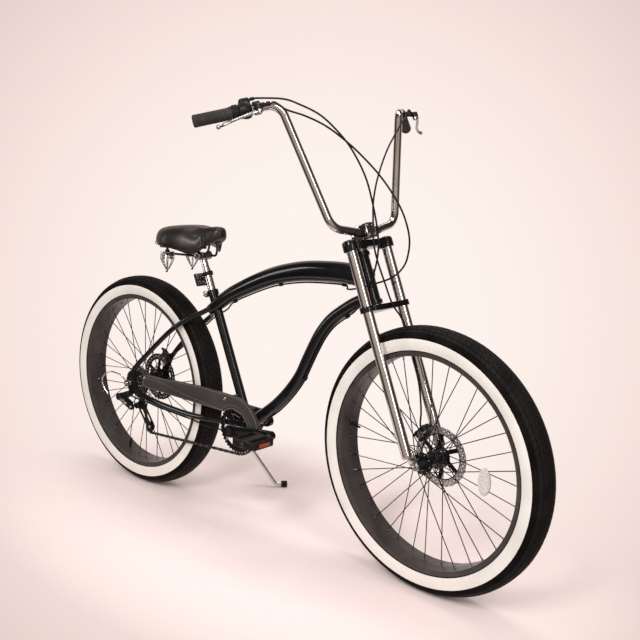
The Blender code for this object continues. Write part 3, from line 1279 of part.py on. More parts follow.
SHIFT_CABLE_ARC = (
    # from the twist shifter's pod forward of the bar to the down tube
    (0.790, -0.277, 1.244), (0.842, -0.250, 1.243), (0.881, -0.235, 1.231), (0.921, -0.200, 1.206),
    (0.956, -0.165, 1.162), (0.978, -0.140, 1.120), (0.994, -0.110, 1.061), (0.999, -0.085, 0.998),
    (1.001, -0.065, 0.935), (0.997, -0.052, 0.885), (0.982, -0.043, 0.830), (0.955, -0.036, 0.775),
    (0.918, -0.030, 0.718))
SHIFT_CABLE_TAIL = (
    # under the bottom bracket and along the right chain stay to the derailleur
    (0.540, -0.008, 0.2860), (0.508, -0.016, 0.2695), (0.475, -0.022, 0.2680), (0.440, -0.031, 0.2720),
    (0.400, -0.046, 0.2775), (0.360, -0.0575, 0.2795), (0.310, -0.0600, 0.2870), (0.250, -0.0605, 0.2890),
    (0.140, -0.0645, 0.2950), (0.080, -0.0710, 0.3045), (0.045, -0.0775, 0.3075), (0.0172, -0.0798, 0.3120))
REAR_BRAKE_ARC = (
    # from the right lever forward of the bar, back past the head tube to the top tube
    (0.853, -0.250, 1.218), (0.886, -0.215, 1.204), (0.921, -0.180, 1.182), (0.956, -0.145, 1.148),
    (0.983, -0.115, 1.114), (1.011, -0.080, 1.070), (1.037, -0.050, 1.019), (1.056, -0.030, 0.970),
    (1.065, -0.015, 0.913), (1.057, -0.010, 0.862), (1.040, -0.010, 0.832), (1.014, -0.012, 0.810),
    (0.986, -0.022, 0.796), (0.960, -0.032, 0.787), (0.930, -0.036, 0.776), (0.900, -0.033, 0.768),
    (0.876, -0.022, 0.7655))
REAR_BRAKE_TAIL = (
    # round the seat tube's left side and down the left seat stay to the caliper
    (0.386, 0.010, 0.644), (0.352, 0.0205, 0.627), (0.318, 0.031, 0.611), (0.279, 0.046, 0.5940),
    (0.242, 0.0565, 0.5712), (0.197, 0.059, 0.5400), (0.147, 0.0590, 0.5000), (0.112, 0.0575, 0.4690),
    (0.080, 0.0540, 0.4480), (0.0450, 0.0500, 0.4355))
FRONT_BRAKE_ROUTE = (
    # in the steering frame, before both crowns and down between the left leg and the tyre
    (0.0920, 0.2330, 0.9230), (0.0900, 0.1845, 0.8830), (0.0870, 0.1245, 0.8310), (0.0843, 0.0745, 0.7770),
    (0.0852, 0.0344, 0.7289), (0.0851, 0.0044, 0.6821), (0.0872, -0.0155, 0.6407), (0.0769, -0.0261, 0.5804),
    (0.0679, -0.0215, 0.5375), (0.0560, -0.0024, 0.4748), (0.0577, 0.0030, 0.4139), (0.0500, 0.0300, 0.3810),
    (0.0440, 0.0470, 0.3500), (0.0400, 0.0512, 0.3000), (0.0340, 0.0512, 0.2000), (0.0180, 0.0510, 0.1300),
    (0.0050, 0.0500, 0.0980), (0.0012, 0.0495, 0.0836))


def beneath(rows):
    """Points along the underside of a swept tube given as (x, z, radius) rows from the head."""
    reach = CABLE_RADIUS + 3 * GAP
    points = []
    for before, row, after in zip(rows[:1] + rows, rows, rows[1:] + rows[-1:]):
        run = Vector((after[0] - before[0], after[1] - before[1])).normalized()
        points.append((row[0] - run.y * (row[2] + reach), 0, row[1] + run.x * (row[2] + reach)))
    return points


def cable(name, route, parent):
    return tube(name, sag_path(route, 0.0012), CABLE_RADIUS, "cable_black", parent, 6)


def cables(frame, steering):
    under_down_tube = beneath([(x, z, DOWN_TUBE_RADIUS) for x, z in DOWN_TUBE_ROUTE])
    pod = [grip_place(-1, 0) @ Vector((0.004, 0.0235, -GRIP_LENGTH - distance)) for distance in (0.0512, 0.0612)]
    start = [steering_place() @ point for point in pod]
    cable("shift_cable", [*start, *SHIFT_CABLE_ARC, *under_down_tube[2:-1], *SHIFT_CABLE_TAIL], frame)
    under_top_tube = beneath(list(TOP_TUBE_ROUTE))
    start = [steering_place() @ point for point in lever_outlet(-1)]
    cable("rear_brake_cable", [*start, *REAR_BRAKE_ARC, *under_top_tube[1:8], *REAR_BRAKE_TAIL], frame)
    cable("front_brake_cable", [*lever_outlet(1), *FRONT_BRAKE_ROUTE], steering)


# Whole bicycle

def build_bicycle():
    lean = Matrix.Rotation(-math.radians(LEAN_DEG), 4, "X")
    frame = empty("bicycle", None, lean)
    steering = empty("steering_axis", frame, steering_place())
    front_hub = empty("front_wheel_axis", steering, front_hub_place())
    rear_hub = empty("rear_wheel_axis", frame, Matrix.Translation(REAR_AXLE))
    crank = empty("crank_axis", frame, Matrix.Translation(BB) @ Matrix.Rotation(-math.radians(CRANK_DEG), 4, "Y"))
    level = Matrix.Rotation(math.radians(CRANK_DEG), 4, "Y")

    head_tube(frame)
    top_tube(frame)
    down_tube(frame)
    seat_tube(frame)
    bb_shell(frame)
    rear_axle(frame)
    for side, word in ((1, "left"), (-1, "right")):
        seat_stay(frame, side, word)
        chain_stay(frame, side, word)
    seat_collar(frame)
    seat_post(frame)
    saddle_rails(frame)
    saddle(frame)
    rear_reflector(frame)
    chain(frame)
    chainguard(frame)
    derailleur(frame)
    guard_hoop(frame)
    rear_caliper(frame)

    steering_parts(steering)
    front_wheel(front_hub)
    rear_wheel(rear_hub)

    chainring(crank)
    spindle(crank)
    for side, word, turn in ((-1, "right", 0.0), (1, "left", math.pi)):
        arm = empty("crank_end_" + word, crank, Matrix.Rotation(turn, 4, "Y"))
        crank_arm(arm, side, word)
        end = empty("pedal_axis_" + word, arm, Matrix.Translation((CRANK_LENGTH, 0, 0)))
        flat = empty("pedal_level_" + word, end, Matrix.Rotation(-turn, 4, "Y") @ level)
        pedal(flat, side, word)

    stand_bracket(frame)
    stand = empty("stand_axis", frame, Matrix.Translation(STAND_PIVOT))
    stand_leg(stand)
    cables(frame, steering)
    return frame


def centre_on_ground(root):
    """Move the root so that the bounding box's bottom centre is the origin."""
    bpy.context.view_layer.update()
    graph = bpy.context.evaluated_depsgraph_get()
    low, high = Vector((math.inf,) * 3), Vector((-math.inf,) * 3)
    for item in PARTS.objects:
        if item.type == "EMPTY":
            continue
        seen = item.evaluated_get(graph)
        mesh = seen.to_mesh()
        for vertex in mesh.vertices:
            spot = seen.matrix_world @ vertex.co
            low = Vector(map(min, low, spot))
            high = Vector(map(max, high, spot))
        seen.to_mesh_clear()
    root.matrix_basis = Matrix.Translation((-(low.x + high.x) / 2, -(low.y + high.y) / 2, -low.z)) @ root.matrix_basis


clear_scene()
PARTS = new_collection("Beach cruiser bicycle")
CUTTERS = new_collection("Cutters")
BICYCLE = build_bicycle()
centre_on_ground(BICYCLE)
bpy.context.view_layer.update()
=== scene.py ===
"""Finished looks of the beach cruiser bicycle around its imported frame."""
import json
import math

import bmesh
import bpy
from mathutils import Matrix, Vector


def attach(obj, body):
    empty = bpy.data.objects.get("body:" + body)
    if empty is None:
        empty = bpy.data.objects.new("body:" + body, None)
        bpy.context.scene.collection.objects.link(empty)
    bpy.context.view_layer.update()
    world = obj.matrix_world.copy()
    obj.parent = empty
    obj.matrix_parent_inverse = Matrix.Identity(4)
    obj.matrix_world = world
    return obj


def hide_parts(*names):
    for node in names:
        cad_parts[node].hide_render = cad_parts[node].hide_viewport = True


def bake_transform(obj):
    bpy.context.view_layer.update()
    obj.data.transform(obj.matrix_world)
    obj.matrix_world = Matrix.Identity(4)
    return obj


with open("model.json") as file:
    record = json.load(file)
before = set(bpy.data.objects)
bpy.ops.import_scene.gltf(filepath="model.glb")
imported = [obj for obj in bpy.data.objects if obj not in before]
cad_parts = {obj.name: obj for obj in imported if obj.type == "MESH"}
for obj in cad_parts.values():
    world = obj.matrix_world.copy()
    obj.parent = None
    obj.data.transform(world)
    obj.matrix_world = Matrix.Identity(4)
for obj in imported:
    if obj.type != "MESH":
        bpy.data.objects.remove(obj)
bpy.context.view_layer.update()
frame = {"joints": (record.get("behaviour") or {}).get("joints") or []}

bl_info = {
    "name": "Beach Cruiser Looks",
    "version": (1, 0, 0),
    "blender": (4, 5, 0),
    "location": "3D View > Sidebar > Cruiser",
    "description": "Builds the visible pieces of a beach cruiser bicycle on its frame",
    "category": "Object",
}

JOINTS = {joint["name"]: joint for joint in frame["joints"]}

# Wheels
WHEEL_RADIUS = 0.351
WHEELBASE = 1.152
RIM_INNER = 0.2765
SPOKES = 36
SPOKE_SPREAD = 0.004
FREEHUB_RADIUS = 0.0158
ROTOR_RADIUS = 0.08
FRONT_ROTOR_Y = 0.047
REAR_ROTOR_Y = 0.056
FRONT_FLANGES = (0.03, -0.03)
REAR_FLANGES = (0.036, -0.018)

# Steering, in the steering axis frame
HEAD_BOTTOM = 0.426
HEAD_LENGTH = 0.143
HEAD_RADIUS = 0.0205
CROWN_GAP = 0.0055
CROWN_LOWER_HEIGHT = 0.015
CROWN_UPPER_HEIGHT = 0.018
LEG_RADIUS = 0.014
LEG_OFFSET = 0.034
LEG_HALF_SPACING = 0.07
FORK_OFFSET = 0.0437
AXLE_RADIUS = 0.005
HEAD_ANGLE_DEG = 68.0
BAR_RADIUS = 0.0111
BAR_FORWARD = 0.04
BAR_RISE_START = 0.615
BAR_LOW_CORNER = (0.038, 0.124, 0.632)
BAR_TOP_CORNER = (0.074, 0.23, 0.945)
BAR_END = (-0.047, 0.404, 0.943)
GRIP_RADIUS = 0.0155
GRIP_LENGTHS = {1: 0.132, -1: 0.092}
LEVER_DISTANCE = 0.155
LEVER_PIVOT = (0.0385, 0.0175, 0.001)

# Frame, upright on its rear wheel at x = 0
BB = Vector((0.495, 0, 0.298))
BB_RADIUS = 0.0215
BB_HALF_LENGTH = 0.034
SEAT_ANGLE_DEG = 66.5
SEAT_TUBE_LENGTH = 0.432
SEAT_TUBE_RADIUS = 0.0143
POST_RADIUS = 0.0125
POST_TOP = 0.548
DOWN_TUBE_RADIUS = 0.0175
CHAIN_STAY_RADIUS = 0.009
SEAT_STAY_RADIUS = 0.008
REAR_INNER = 0.0675
REAR_PLATE = 0.006
RAIL_HEIGHT = 0.7966
SPRING_PLACE = (0.172, 0.052)
REFLECTOR_HEIGHT = 0.484

# Drive train
CHAIN_LINE = 0.05
CHAIN_PITCH = 0.0127
RING_TEETH = 38
COG_TEETH = (14, 16, 18, 20, 22, 24, 28)
DRIVEN_COG = 2
COG_PITCH = 0.005
PULLEY_RADIUS = 0.0205
GUIDE_PULLEY = (0.034, 0.279)
TENSION_PULLEY = (0.085, 0.2145)
CRANK_LENGTH = 0.168
CRANK_INNER = 0.0725
CRANK_THICKNESS = 0.014
PEDAL_INNER = 0.105
PEDAL_WIDTH = 0.092
PEDAL_LENGTH = 0.088
PEDAL_HEIGHT = 0.024

# Stand and cables
STAND_PIVOT = (0.26, 0.083, 0.266)
STAND_KNEE = (0.3106, 0.205, 0.1212)
STAND_FOLDED = (-0.97, 0.1, -0.22)
STAND_ANKLE = (0.38, 0.242)
STAND_REACH = 0.254
SHOE_RADIUS = 0.0105
LEAN_DEG = 1.47
CABLE_RADIUS = 0.0024
GAP = 0.0003
SIDES = ((1, "left"), (-1, "right"))

# Camera, fitted to the bicycle upright in the photograph's 640 by 640 view
CAMERA_AZIMUTH_DEG = 40.96
CAMERA_ELEVATION_DEG = 11.45
CAMERA_ROLL_DEG = 0.74
CAMERA_DISTANCE = 2.49531
CAMERA_TARGET = (0.77959, 0, 0.66701)
CAMERA_FOCAL_PIXELS = 907.576
VIEW_PIXELS = 640
SENSOR_MM = 36.0


# Places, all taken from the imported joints

def frame_of(origin, across, forward):
    """Matrix with Y along across, X as near forward as it can be, and its origin at origin."""
    y = Vector(across).normalized()
    x = (Vector(forward) - y * y.dot(Vector(forward))).normalized()
    turn = Matrix((x, y, x.cross(y))).transposed()
    return Matrix.Translation(origin) @ turn.to_4x4()


def at(x, y, z):
    return Matrix.Translation((x, y, z))


def turned_by(degrees, axis):
    return Matrix.Rotation(math.radians(degrees), 4, axis)


def along(start, end):
    """Matrix with its origin at start and its Z axis pointing to end."""
    direction = Vector(end) - Vector(start)
    return Matrix.Translation(start) @ direction.to_track_quat("Z", "Y").to_matrix().to_4x4()


def upright(x, y, z):
    """Matrix that stands a flat XY outline up in the XZ plane."""
    return at(x, y, z) @ turned_by(90, "X")


def joint_point(name):
    return Vector(JOINTS[name]["pos_m"])


FORWARD = Vector((1, 0, 0))
REAR_HUB = frame_of(joint_point("rear_wheel_spin"), JOINTS["rear_wheel_spin"]["axis"], FORWARD)
FRONT_HUB = frame_of(joint_point("front_wheel_spin"), JOINTS["front_wheel_spin"]["axis"], FORWARD)
BIKE = REAR_HUB @ at(0, 0, -WHEEL_RADIUS)
STEER_UP = Vector(JOINTS["steering"]["axis"])
STEER = frame_of(joint_point("steering"), JOINTS["front_wheel_spin"]["axis"],
                 Vector(JOINTS["front_wheel_spin"]["axis"]).cross(STEER_UP))
CRANK = frame_of(joint_point("crank_spin"), JOINTS["crank_spin"]["axis"],
                 joint_point("pedal_right_spin") - joint_point("crank_spin"))
PEDALS = {side: frame_of(joint_point("pedal_%s_spin" % word), JOINTS["crank_spin"]["axis"], FORWARD)
          for side, word in SIDES}
SEAT_UP = Vector((-math.cos(math.radians(SEAT_ANGLE_DEG)), 0, math.sin(math.radians(SEAT_ANGLE_DEG))))
CROWN_LOWER_TOP = HEAD_BOTTOM - CROWN_GAP
CROWN_UPPER_BOTTOM = HEAD_BOTTOM + HEAD_LENGTH + CROWN_GAP


def seat_point(height):
    return BB + SEAT_UP * height


def seat_frame(height):
    """Frame on the seat tube's axis: X forward of it, Z up it."""
    return Matrix.Translation(seat_point(height)) @ turned_by(SEAT_ANGLE_DEG - 90, "Y")


# Routes and outlines

def smooth_path(points, count):
    """Evenly spaced rows along a smooth curve through points, of any number of columns."""
    rows = [tuple(point) for point in points]
    rows = [rows[0]] + rows + [rows[-1]]
    dense = []
    for before, start, end, after in zip(rows, rows[1:], rows[2:], rows[3:]):
        for step in range(24):
            t = step / 24
            weights = ((-t + 2 * t * t - t ** 3) / 2, (2 - 5 * t * t + 3 * t ** 3) / 2,
                       (t + 4 * t * t - 3 * t ** 3) / 2, (t ** 3 - t * t) / 2)
            dense.append([sum(w * row[k] for w, row in zip(weights, (before, start, end, after)))
                          for k in range(len(start))])
    dense.append(list(rows[-1]))
    lengths = [0.0]
    for one, two in zip(dense, dense[1:]):
        lengths.append(lengths[-1] + math.dist(one[:3], two[:3]))
    result = []
    index = 0
    for step in range(count):
        target = lengths[-1] * step / (count - 1)
        while index < len(dense) - 2 and lengths[index + 1] < target:
            index += 1
        share = (target - lengths[index]) / (lengths[index + 1] - lengths[index])
        result.append([a + (b - a) * share for a, b in zip(dense[index], dense[index + 1])])
    return result


def rounded_path(corners, bends, steps=10):
    """Points along straight runs with an arc of the given radius at each inner corner."""
    corners = [Vector(corner) for corner in corners]
    points = [corners[0]]
    for before, corner, after, bend in zip(corners, corners[1:], corners[2:], bends):
        back = (before - corner).normalized()
        ahead = (after - corner).normalized()
        half = back.angle(ahead) / 2
        centre = corner + (back + ahead).normalized() * bend / math.sin(half)
        start = (corner + back * bend / math.tan(half) - centre).normalized()
        end = (corner + ahead * bend / math.tan(half) - centre).normalized()
        points += [centre + start.slerp(end, step / steps) * bend for step in range(steps + 1)]
    return points + [corners[-1]]


def polar(radius, angle, x=0.0, y=0.0):
    return (x + radius * math.cos(angle), y + radius * math.sin(angle))


def circle(x, y, radius, steps=24):
    return [polar(radius, 2 * math.pi * k / steps, x, y) for k in range(steps)]


def arc(x, y, radius, from_deg, to_deg, steps):
    return [polar(radius, math.radians(from_deg + (to_deg - from_deg) * k / steps), x, y)
            for k in range(steps + 1)]


def oval(half_x, half_y, steps=40):
    return [(half_x * x, half_y * y) for x, y in circle(0, 0, 1, steps)]


def strap(first, first_radius, second, second_radius, steps=12):
    """Outline of a strap that wraps a round boss at each end."""
    first, second = Vector(first), Vector(second)
    heading = math.degrees(math.atan2((second - first).y, (second - first).x))
    spread = math.degrees(math.acos((first_radius - second_radius) / (second - first).length))
    return (arc(second.x, second.y, second_radius, heading - spread, heading + spread, steps)
            + arc(first.x, first.y, first_radius, heading + spread, heading + 360 - spread, steps))


# Forms, each a closed bmesh

def soften(work, edges, reach, segments):
    bmesh.ops.bevel(work, geom=edges, offset=reach, offset_type="OFFSET", segments=segments, profile=0.5,
                    affect="EDGES", material=-1, clamp_overlap=True)


def fresh_verts(grown):
    return [item for item in grown if isinstance(item, bmesh.types.BMVert)]


def lathe(profile, steps=48, closed=False):
    """Turn rows of (radius, height) round Z; closed joins the last row to the first."""
    work = bmesh.new()
    points = [work.verts.new((radius, 0, height)) for radius, height in profile]
    edges = [work.edges.new(pair) for pair in zip(points, points[1:])]
    if closed:
        edges.append(work.edges.new((points[-1], points[0])))
    bmesh.ops.spin(work, geom=points + edges, axis=(0, 0, 1), cent=(0, 0, 0), steps=steps, angle=2 * math.pi,
                   use_merge=True)
    bmesh.ops.remove_doubles(work, verts=work.verts, dist=1e-7)
    return work


def ring(inner, outer, low, high, steps=48, soft=0.0):
    """A collar, its four rims chamfered by soft."""
    if not soft:
        return lathe([(inner, high), (outer, high), (outer, low), (inner, low)], steps, True)
    return lathe([(inner, high - soft), (inner + soft, high), (outer - soft, high), (outer, high - soft),
                  (outer, low + soft), (outer - soft, low), (inner + soft, low), (inner, low + soft)], steps,
                 True)


def rod(radius, low, high, steps=24, soft=0.0005):
    """A round bar on Z with chamfered ends."""
    return lathe([(0, high), (radius - soft, high), (radius, high - soft), (radius, low + soft),
                  (radius - soft, low), (0, low)], steps)


def pipe(points, radius, sides=16, radii=None):
    """A tube swept through points, capped at both ends, of one radius or one for each point."""
    points = [Vector(point[:3]) for point in points]
    radii = radii or [radius] * len(points)
    work = bmesh.new()
    heading = (points[1] - points[0]).normalized()
    turn = heading.to_track_quat("Z", "Y")
    bmesh.ops.create_circle(work, cap_ends=True, segments=sides, radius=1.0)
    place = Matrix.Translation(points[0]) @ turn.to_matrix().to_4x4() @ Matrix.Scale(radii[0], 4)
    bmesh.ops.transform(work, matrix=place, verts=work.verts)
    loop = list(work.edges)
    for index in range(1, len(points)):
        ahead = points[min(index + 1, len(points) - 1)] - points[index - 1]
        following = ahead.normalized()
        turn = heading.rotation_difference(following) @ turn
        heading = following
        after = Matrix.Translation(points[index]) @ turn.to_matrix().to_4x4() @ Matrix.Scale(radii[index], 4)
        grown = bmesh.ops.extrude_edge_only(work, edges=loop)["geom"]
        verts = fresh_verts(grown)
        bmesh.ops.transform(work, matrix=after @ place.inverted(), verts=verts)
        place = after
        fresh = set(verts)
        loop = [item for item in grown if isinstance(item, bmesh.types.BMEdge) and item.verts[0] in fresh
                and item.verts[1] in fresh]
    bmesh.ops.contextual_create(work, geom=loop)
    return work


def slab(outlines, thickness, soft=0.0, segments=2):
    """A plate from flat outlines, the first outer and the others holes, its rims rounded by soft."""
    work = bmesh.new()
    edges = []
    for outline in outlines:
        loop = [work.verts.new((x, y, -thickness / 2)) for x, y in outline]
        edges += [work.edges.new((one, two)) for one, two in zip(loop, loop[1:] + loop[:1])]
    bmesh.ops.triangle_fill(work, edges=edges, use_beauty=True, use_dissolve=False)
    rims = [edge for edge in work.edges if edge.is_boundary]
    grown = bmesh.ops.extrude_face_region(work, geom=list(work.faces), use_keep_orig=True)["geom"]
    verts = fresh_verts(grown)
    bmesh.ops.translate(work, vec=(0, 0, thickness), verts=verts)
    if soft:
        work.normal_update()
        fresh = set(verts)
        caps = [edge for edge in work.edges if edge.verts[0] in fresh and edge.verts[1] in fresh
                and edge.calc_face_angle(0) > 0.8]
        soften(work, caps + rims, soft, segments)
    return work


def block(size, soft=0.0, segments=3):
    """A box with every edge rounded by soft."""
    work = bmesh.new()
    bmesh.ops.create_cube(work, size=1.0)
    bmesh.ops.scale(work, vec=size, verts=work.verts)
    if soft:
        soften(work, list(work.edges), soft, segments)
    return work


def ball(radius, across=16):
    work = bmesh.new()
    bmesh.ops.create_uvsphere(work, u_segments=across, v_segments=across // 2, radius=radius)
    return work


def bolt(radius, height, sides=0):
    """A bolt head standing on z = 0: round with a socket, or a prism if sides are given."""
    if sides:
        work = bmesh.new()
        bmesh.ops.create_cone(work, cap_ends=True, segments=sides, radius1=radius, radius2=radius,
                              depth=height)
        bmesh.ops.translate(work, vec=(0, 0, height / 2), verts=work.verts)
        soften(work, list(work.edges), radius * 0.09, 2)
        return work
    soft, socket, floor = radius * 0.18, radius * 0.55, height * 0.45
    return lathe([(0, floor), (socket, floor), (socket, height), (radius - soft, height),
                  (radius, height - soft), (radius, 0), (0, 0)], 20)


class Piece:
    """One piece in the making: forms are added at places in its frame, in its main finish or another."""

    def __init__(self, name, place, finish="black_paint"):
        self.name = name
        self.place = place
        self.finish = finish
        self.work = bmesh.new()
        self.finishes = []

    def add(self, form, place=None, finish=None):
        """Add a form once, or at each of several places."""
        finish = finish or self.finish
        places = place if isinstance(place, list) else [place or Matrix()]
        if finish not in self.finishes:
            self.finishes.append(finish)
        bmesh.ops.recalc_face_normals(form, faces=form.faces)
        for face in form.faces:
            face.material_index = self.finishes.index(finish)
        mesh = bpy.data.meshes.new(self.name)
        for spot in places:
            copy = form.copy()
            bmesh.ops.transform(copy, matrix=spot, verts=copy.verts)
            if spot.determinant() < 0:
                bmesh.ops.reverse_faces(copy, faces=copy.faces)
            copy.to_mesh(mesh)
            copy.free()
            self.work.from_mesh(mesh)
        bpy.data.meshes.remove(mesh)
        form.free()
        return self

    def done(self, body, slot, *nodes, sharp=38):
        """Link the piece as an object with its place in its mesh, riding on its body."""
        bmesh.ops.transform(self.work, matrix=self.place, verts=self.work.verts)
        mesh = bpy.data.meshes.new(self.name)
        self.work.to_mesh(mesh)
        self.work.free()
        mesh.shade_smooth()
        mesh.set_sharp_from_angle(angle=math.radians(sharp))
        for finish in self.finishes:
            mesh.materials.append(material(finish))
        item = bpy.data.objects.new(self.name, mesh)
        bpy.context.scene.collection.objects.link(item)
        if body:
            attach(item, body)
        if nodes:
            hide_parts(*nodes)
        return item


# Finishes

class Wire:
    """A shader output that can be added, scaled and compared like a number."""

    def __init__(self, finish, socket):
        self.finish = finish
        self.socket = socket

    def math(self, operation, first, second):
        return self.finish.node("ShaderNodeMath", {"operation": operation}, {0: first, 1: second})

    def __add__(self, other):
        return self.math("ADD", self, other)

    def __sub__(self, other):
        return self.math("SUBTRACT", self, other)

    def __mul__(self, other):
        return self.math("MULTIPLY", self, other)

    def __rsub__(self, other):
        return self.math("SUBTRACT", other, self)

    __radd__ = __add__
    __rmul__ = __mul__

    def above(self, level):
        return self.math("GREATER_THAN", self, level)


class Finish:
    """The node tree of a material or the world."""

    def __init__(self, owner):
        owner.use_nodes = True
        self.owner = owner
        self.tree = owner.node_tree
        self.shader = self.tree.nodes.get("Principled BSDF") or self.tree.nodes["Background"]
        self.place = self.node("ShaderNodeTexCoord", output="Object")

    def put(self, socket, value):
        if isinstance(value, Wire):
            self.tree.links.new(value.socket, socket)
        elif isinstance(value, tuple) and socket.type == "RGBA":
            socket.default_value = (*value[:3], 1.0)
        else:
            socket.default_value = value

    def node(self, kind, settings=None, sockets=None, output=0):
        """Any node with its settings, ramp stops included, and its inputs."""
        item = self.tree.nodes.new(kind)
        for name, value in (settings or {}).items():
            if name == "stops":
                ramp = item.color_ramp.elements
                ramp.remove(ramp[1])
                ramp[0].position, ramp[0].color = value[0][0], (*value[0][1], 1.0)
                for position, colour in value[1:]:
                    ramp.new(position).color = (*colour, 1.0)
            else:
                setattr(item, name, value)
        for key, value in (sockets or {}).items():
            self.put(item.inputs[key], value)
        return Wire(self, item.outputs[output])

    def mix(self, share, one, two):
        return self.node("ShaderNodeMix", {"data_type": "RGBA"}, {0: share, 6: one, 7: two}, output=2)

    def noise(self, scale, detail):
        return self.node("ShaderNodeTexNoise", {}, {"Vector": self.place, "Scale": scale, "Detail": detail})

    def cells(self, scale, feature="F1", output="Distance"):
        return self.node("ShaderNodeTexVoronoi", {"feature": feature}, {"Vector": self.place, "Scale": scale},
                         output)

    def split(self, vector, axis):
        return self.node("ShaderNodeSeparateXYZ", {}, {0: vector}, axis)

    def between(self, value, low, high):
        """Share of the way from low to high, held within 0 and 1."""
        return self.node("ShaderNodeMapRange", {}, {"Value": value, 1: low, 2: high})

    def set(self, **values):
        for name, value in values.items():
            self.put(self.shader.inputs[name.replace("_", " ").title().replace("Ior", "IOR")], value)
        return self


# Each finish: two colours that patches of wear mix (for the lenses, the dark and bright ends of painted
# glints on their prism facets), metallic, roughness low and high, patch scale, grain scale, grain depth in
# metres, coat weight, specular level, and the pattern of its grain
FINISHES = {
    "black_paint": ((0.0035, 0.0035, 0.0038), (0.0075, 0.0072, 0.0075),
        0.0, 0.11, 0.2, 9, 900, 0.00001, 0.28, 0.22, "fine"),
    "chrome": ((0.74, 0.73, 0.72), (0.64, 0.63, 0.63),
        1.0, 0.07, 0.15, 14, 500, 0.000006, 0.0, 0.5, "fine"),
    "silver": ((0.62, 0.61, 0.6), (0.44, 0.43, 0.42),
        1.0, 0.2, 0.38, 30, 700, 0.00003, 0.0, 0.5, "fine"),
    "steel": ((0.38, 0.37, 0.36), (0.24, 0.235, 0.23),
        1.0, 0.24, 0.45, 40, 900, 0.00004, 0.0, 0.5, "fine"),
    "dark_steel": ((0.085, 0.08, 0.076), (0.03, 0.027, 0.025),
        0.9, 0.28, 0.5, 60, 900, 0.00003, 0.0, 0.4, "fine"),
    "tyre_rubber": ((0.003, 0.0021, 0.0019), (0.008, 0.0062, 0.0056),
        0.0, 0.6, 0.85, 18, 700, 0.00012, 0.0, 0.05, "fine"),
    "tread_rubber": ((0.0055, 0.0042, 0.0038), (0.0115, 0.009, 0.0081),
        0.0, 0.55, 0.75, 18, 700, 0.0001, 0.0, 0.12, "fine"),
    # Painted highlight: lighter than the cover's plastic, for the bright lines along its lip and groove
    "guard_edge": ((0.08, 0.066, 0.061), (0.105, 0.088, 0.082),
        0.0, 0.32, 0.46, 10, 1300, 0.00004, 0.0, 0.3, "pebble"),
    "whitewall": ((0.8, 0.745, 0.695), (0.7, 0.63, 0.57),
        0.0, 0.42, 0.62, 11, 420, 0.00006, 0.0, 0.35, "fine"),
    "rim_paint": ((0.04, 0.032, 0.029), (0.06, 0.049, 0.044),
        0.0, 0.26, 0.42, 16, 1200, 0.00003, 0.05, 0.25, "fine"),
    "black_plastic": ((0.005, 0.0044, 0.0042), (0.011, 0.0095, 0.009),
        0.0, 0.38, 0.58, 25, 1500, 0.00006, 0.0, 0.22, "pebble"),
    "grip_rubber": ((0.026, 0.02, 0.018), (0.042, 0.034, 0.03),
        0.0, 0.58, 0.78, 30, 1100, 0.0001, 0.0, 0.2, "pebble"),
    "black_leather": ((0.009, 0.0062, 0.0054), (0.017, 0.0125, 0.0108),
        0.0, 0.32, 0.46, 12, 520, 0.00018, 0.0, 0.34, "pebble"),
    "rotor_steel": ((0.66, 0.65, 0.64), (0.46, 0.45, 0.44),
        1.0, 0.38, 0.55, 45, 1500, 0.00003, 0.0, 0.5, "fine"),
    "guard_plastic": ((0.038, 0.03, 0.028), (0.052, 0.042, 0.039),
        0.0, 0.34, 0.5, 10, 1300, 0.00004, 0.0, 0.25, "pebble"),
    "cable_sheath": ((0.004, 0.0036, 0.0034), (0.009, 0.008, 0.0076),
        0.0, 0.36, 0.52, 40, 1800, 0.00005, 0.0, 0.2, "fine"),
    "clear_lens": ((0.78, 0.68, 0.66), (0.5, 0.43, 0.42),
        0.0, 0.06, 0.16, 240, 420, 0.0006, 0.3, 0.5, "prism"),
    "orange_lens": ((0.46, 0.062, 0.006), (0.2, 0.018, 0.002),
        0.0, 0.08, 0.18, 260, 420, 0.0006, 0.3, 0.5, "prism"),
    "black_lens": ((0.016, 0.015, 0.016), (0.42, 0.4, 0.4),
        0.0, 0.08, 0.18, 300, 420, 0.0006, 0.3, 0.5, "speckle"),
}
MADE = {}


def material(name):
    """The finish of that name, made on its first use."""
    if name in MADE:
        return MADE[name]
    one, two, metal, smooth, rough, patches, grain, depth, coat, specular, pattern = FINISHES[name]
    finish = Finish(bpy.data.materials.new(name + "_finish"))
    wear = finish.between(finish.noise(patches, 5.0), 0.36, 0.66)
    grime = finish.between(finish.noise(patches * 3.1, 6.0), 0.3, 0.75)
    colour = finish.mix(wear, one, two)
    fine = finish.noise(grain, 2.0)
    if pattern == "pebble":
        fine = finish.cells(grain, "SMOOTH_F1")
    if pattern in ("prism", "speckle"):
        # Prism and speckle lenses get painted glints: each facet cell a random brightness between the two
        # colours, or for speckle a few bright cells on a dark lens
        cell = finish.cells(grain, "F1", "Color")
        fine = finish.cells(grain, "F1")
        painted_glint = finish.split(cell, 0)
        colour = finish.mix(painted_glint.above(0.84) if pattern == "speckle" else painted_glint, one, two)
    normal = finish.node("ShaderNodeBump", {}, {"Height": fine, "Distance": depth})
    if name == "whitewall":
        colour = finish.mix(finish.between(finish.noise(6.0, 2.0), 0.45, 0.7), colour, (0.76, 0.69, 0.63))
    if name == "black_paint":
        flake = finish.split(finish.cells(2600, "F1", "Color"), 1).above(0.93) * 0.35
        colour = finish.mix(flake, colour, (0.03, 0.03, 0.032))
    finish.set(base_color=colour, metallic=metal, roughness=smooth + (rough - smooth) * grime, normal=normal,
               coat_weight=coat, coat_roughness=0.06, specular_ior_level=specular)
    MADE[name] = finish.owner
    return finish.owner


# Wheels, in axle frames: Z along the axle to the left

AXLE = turned_by(-90, "X")
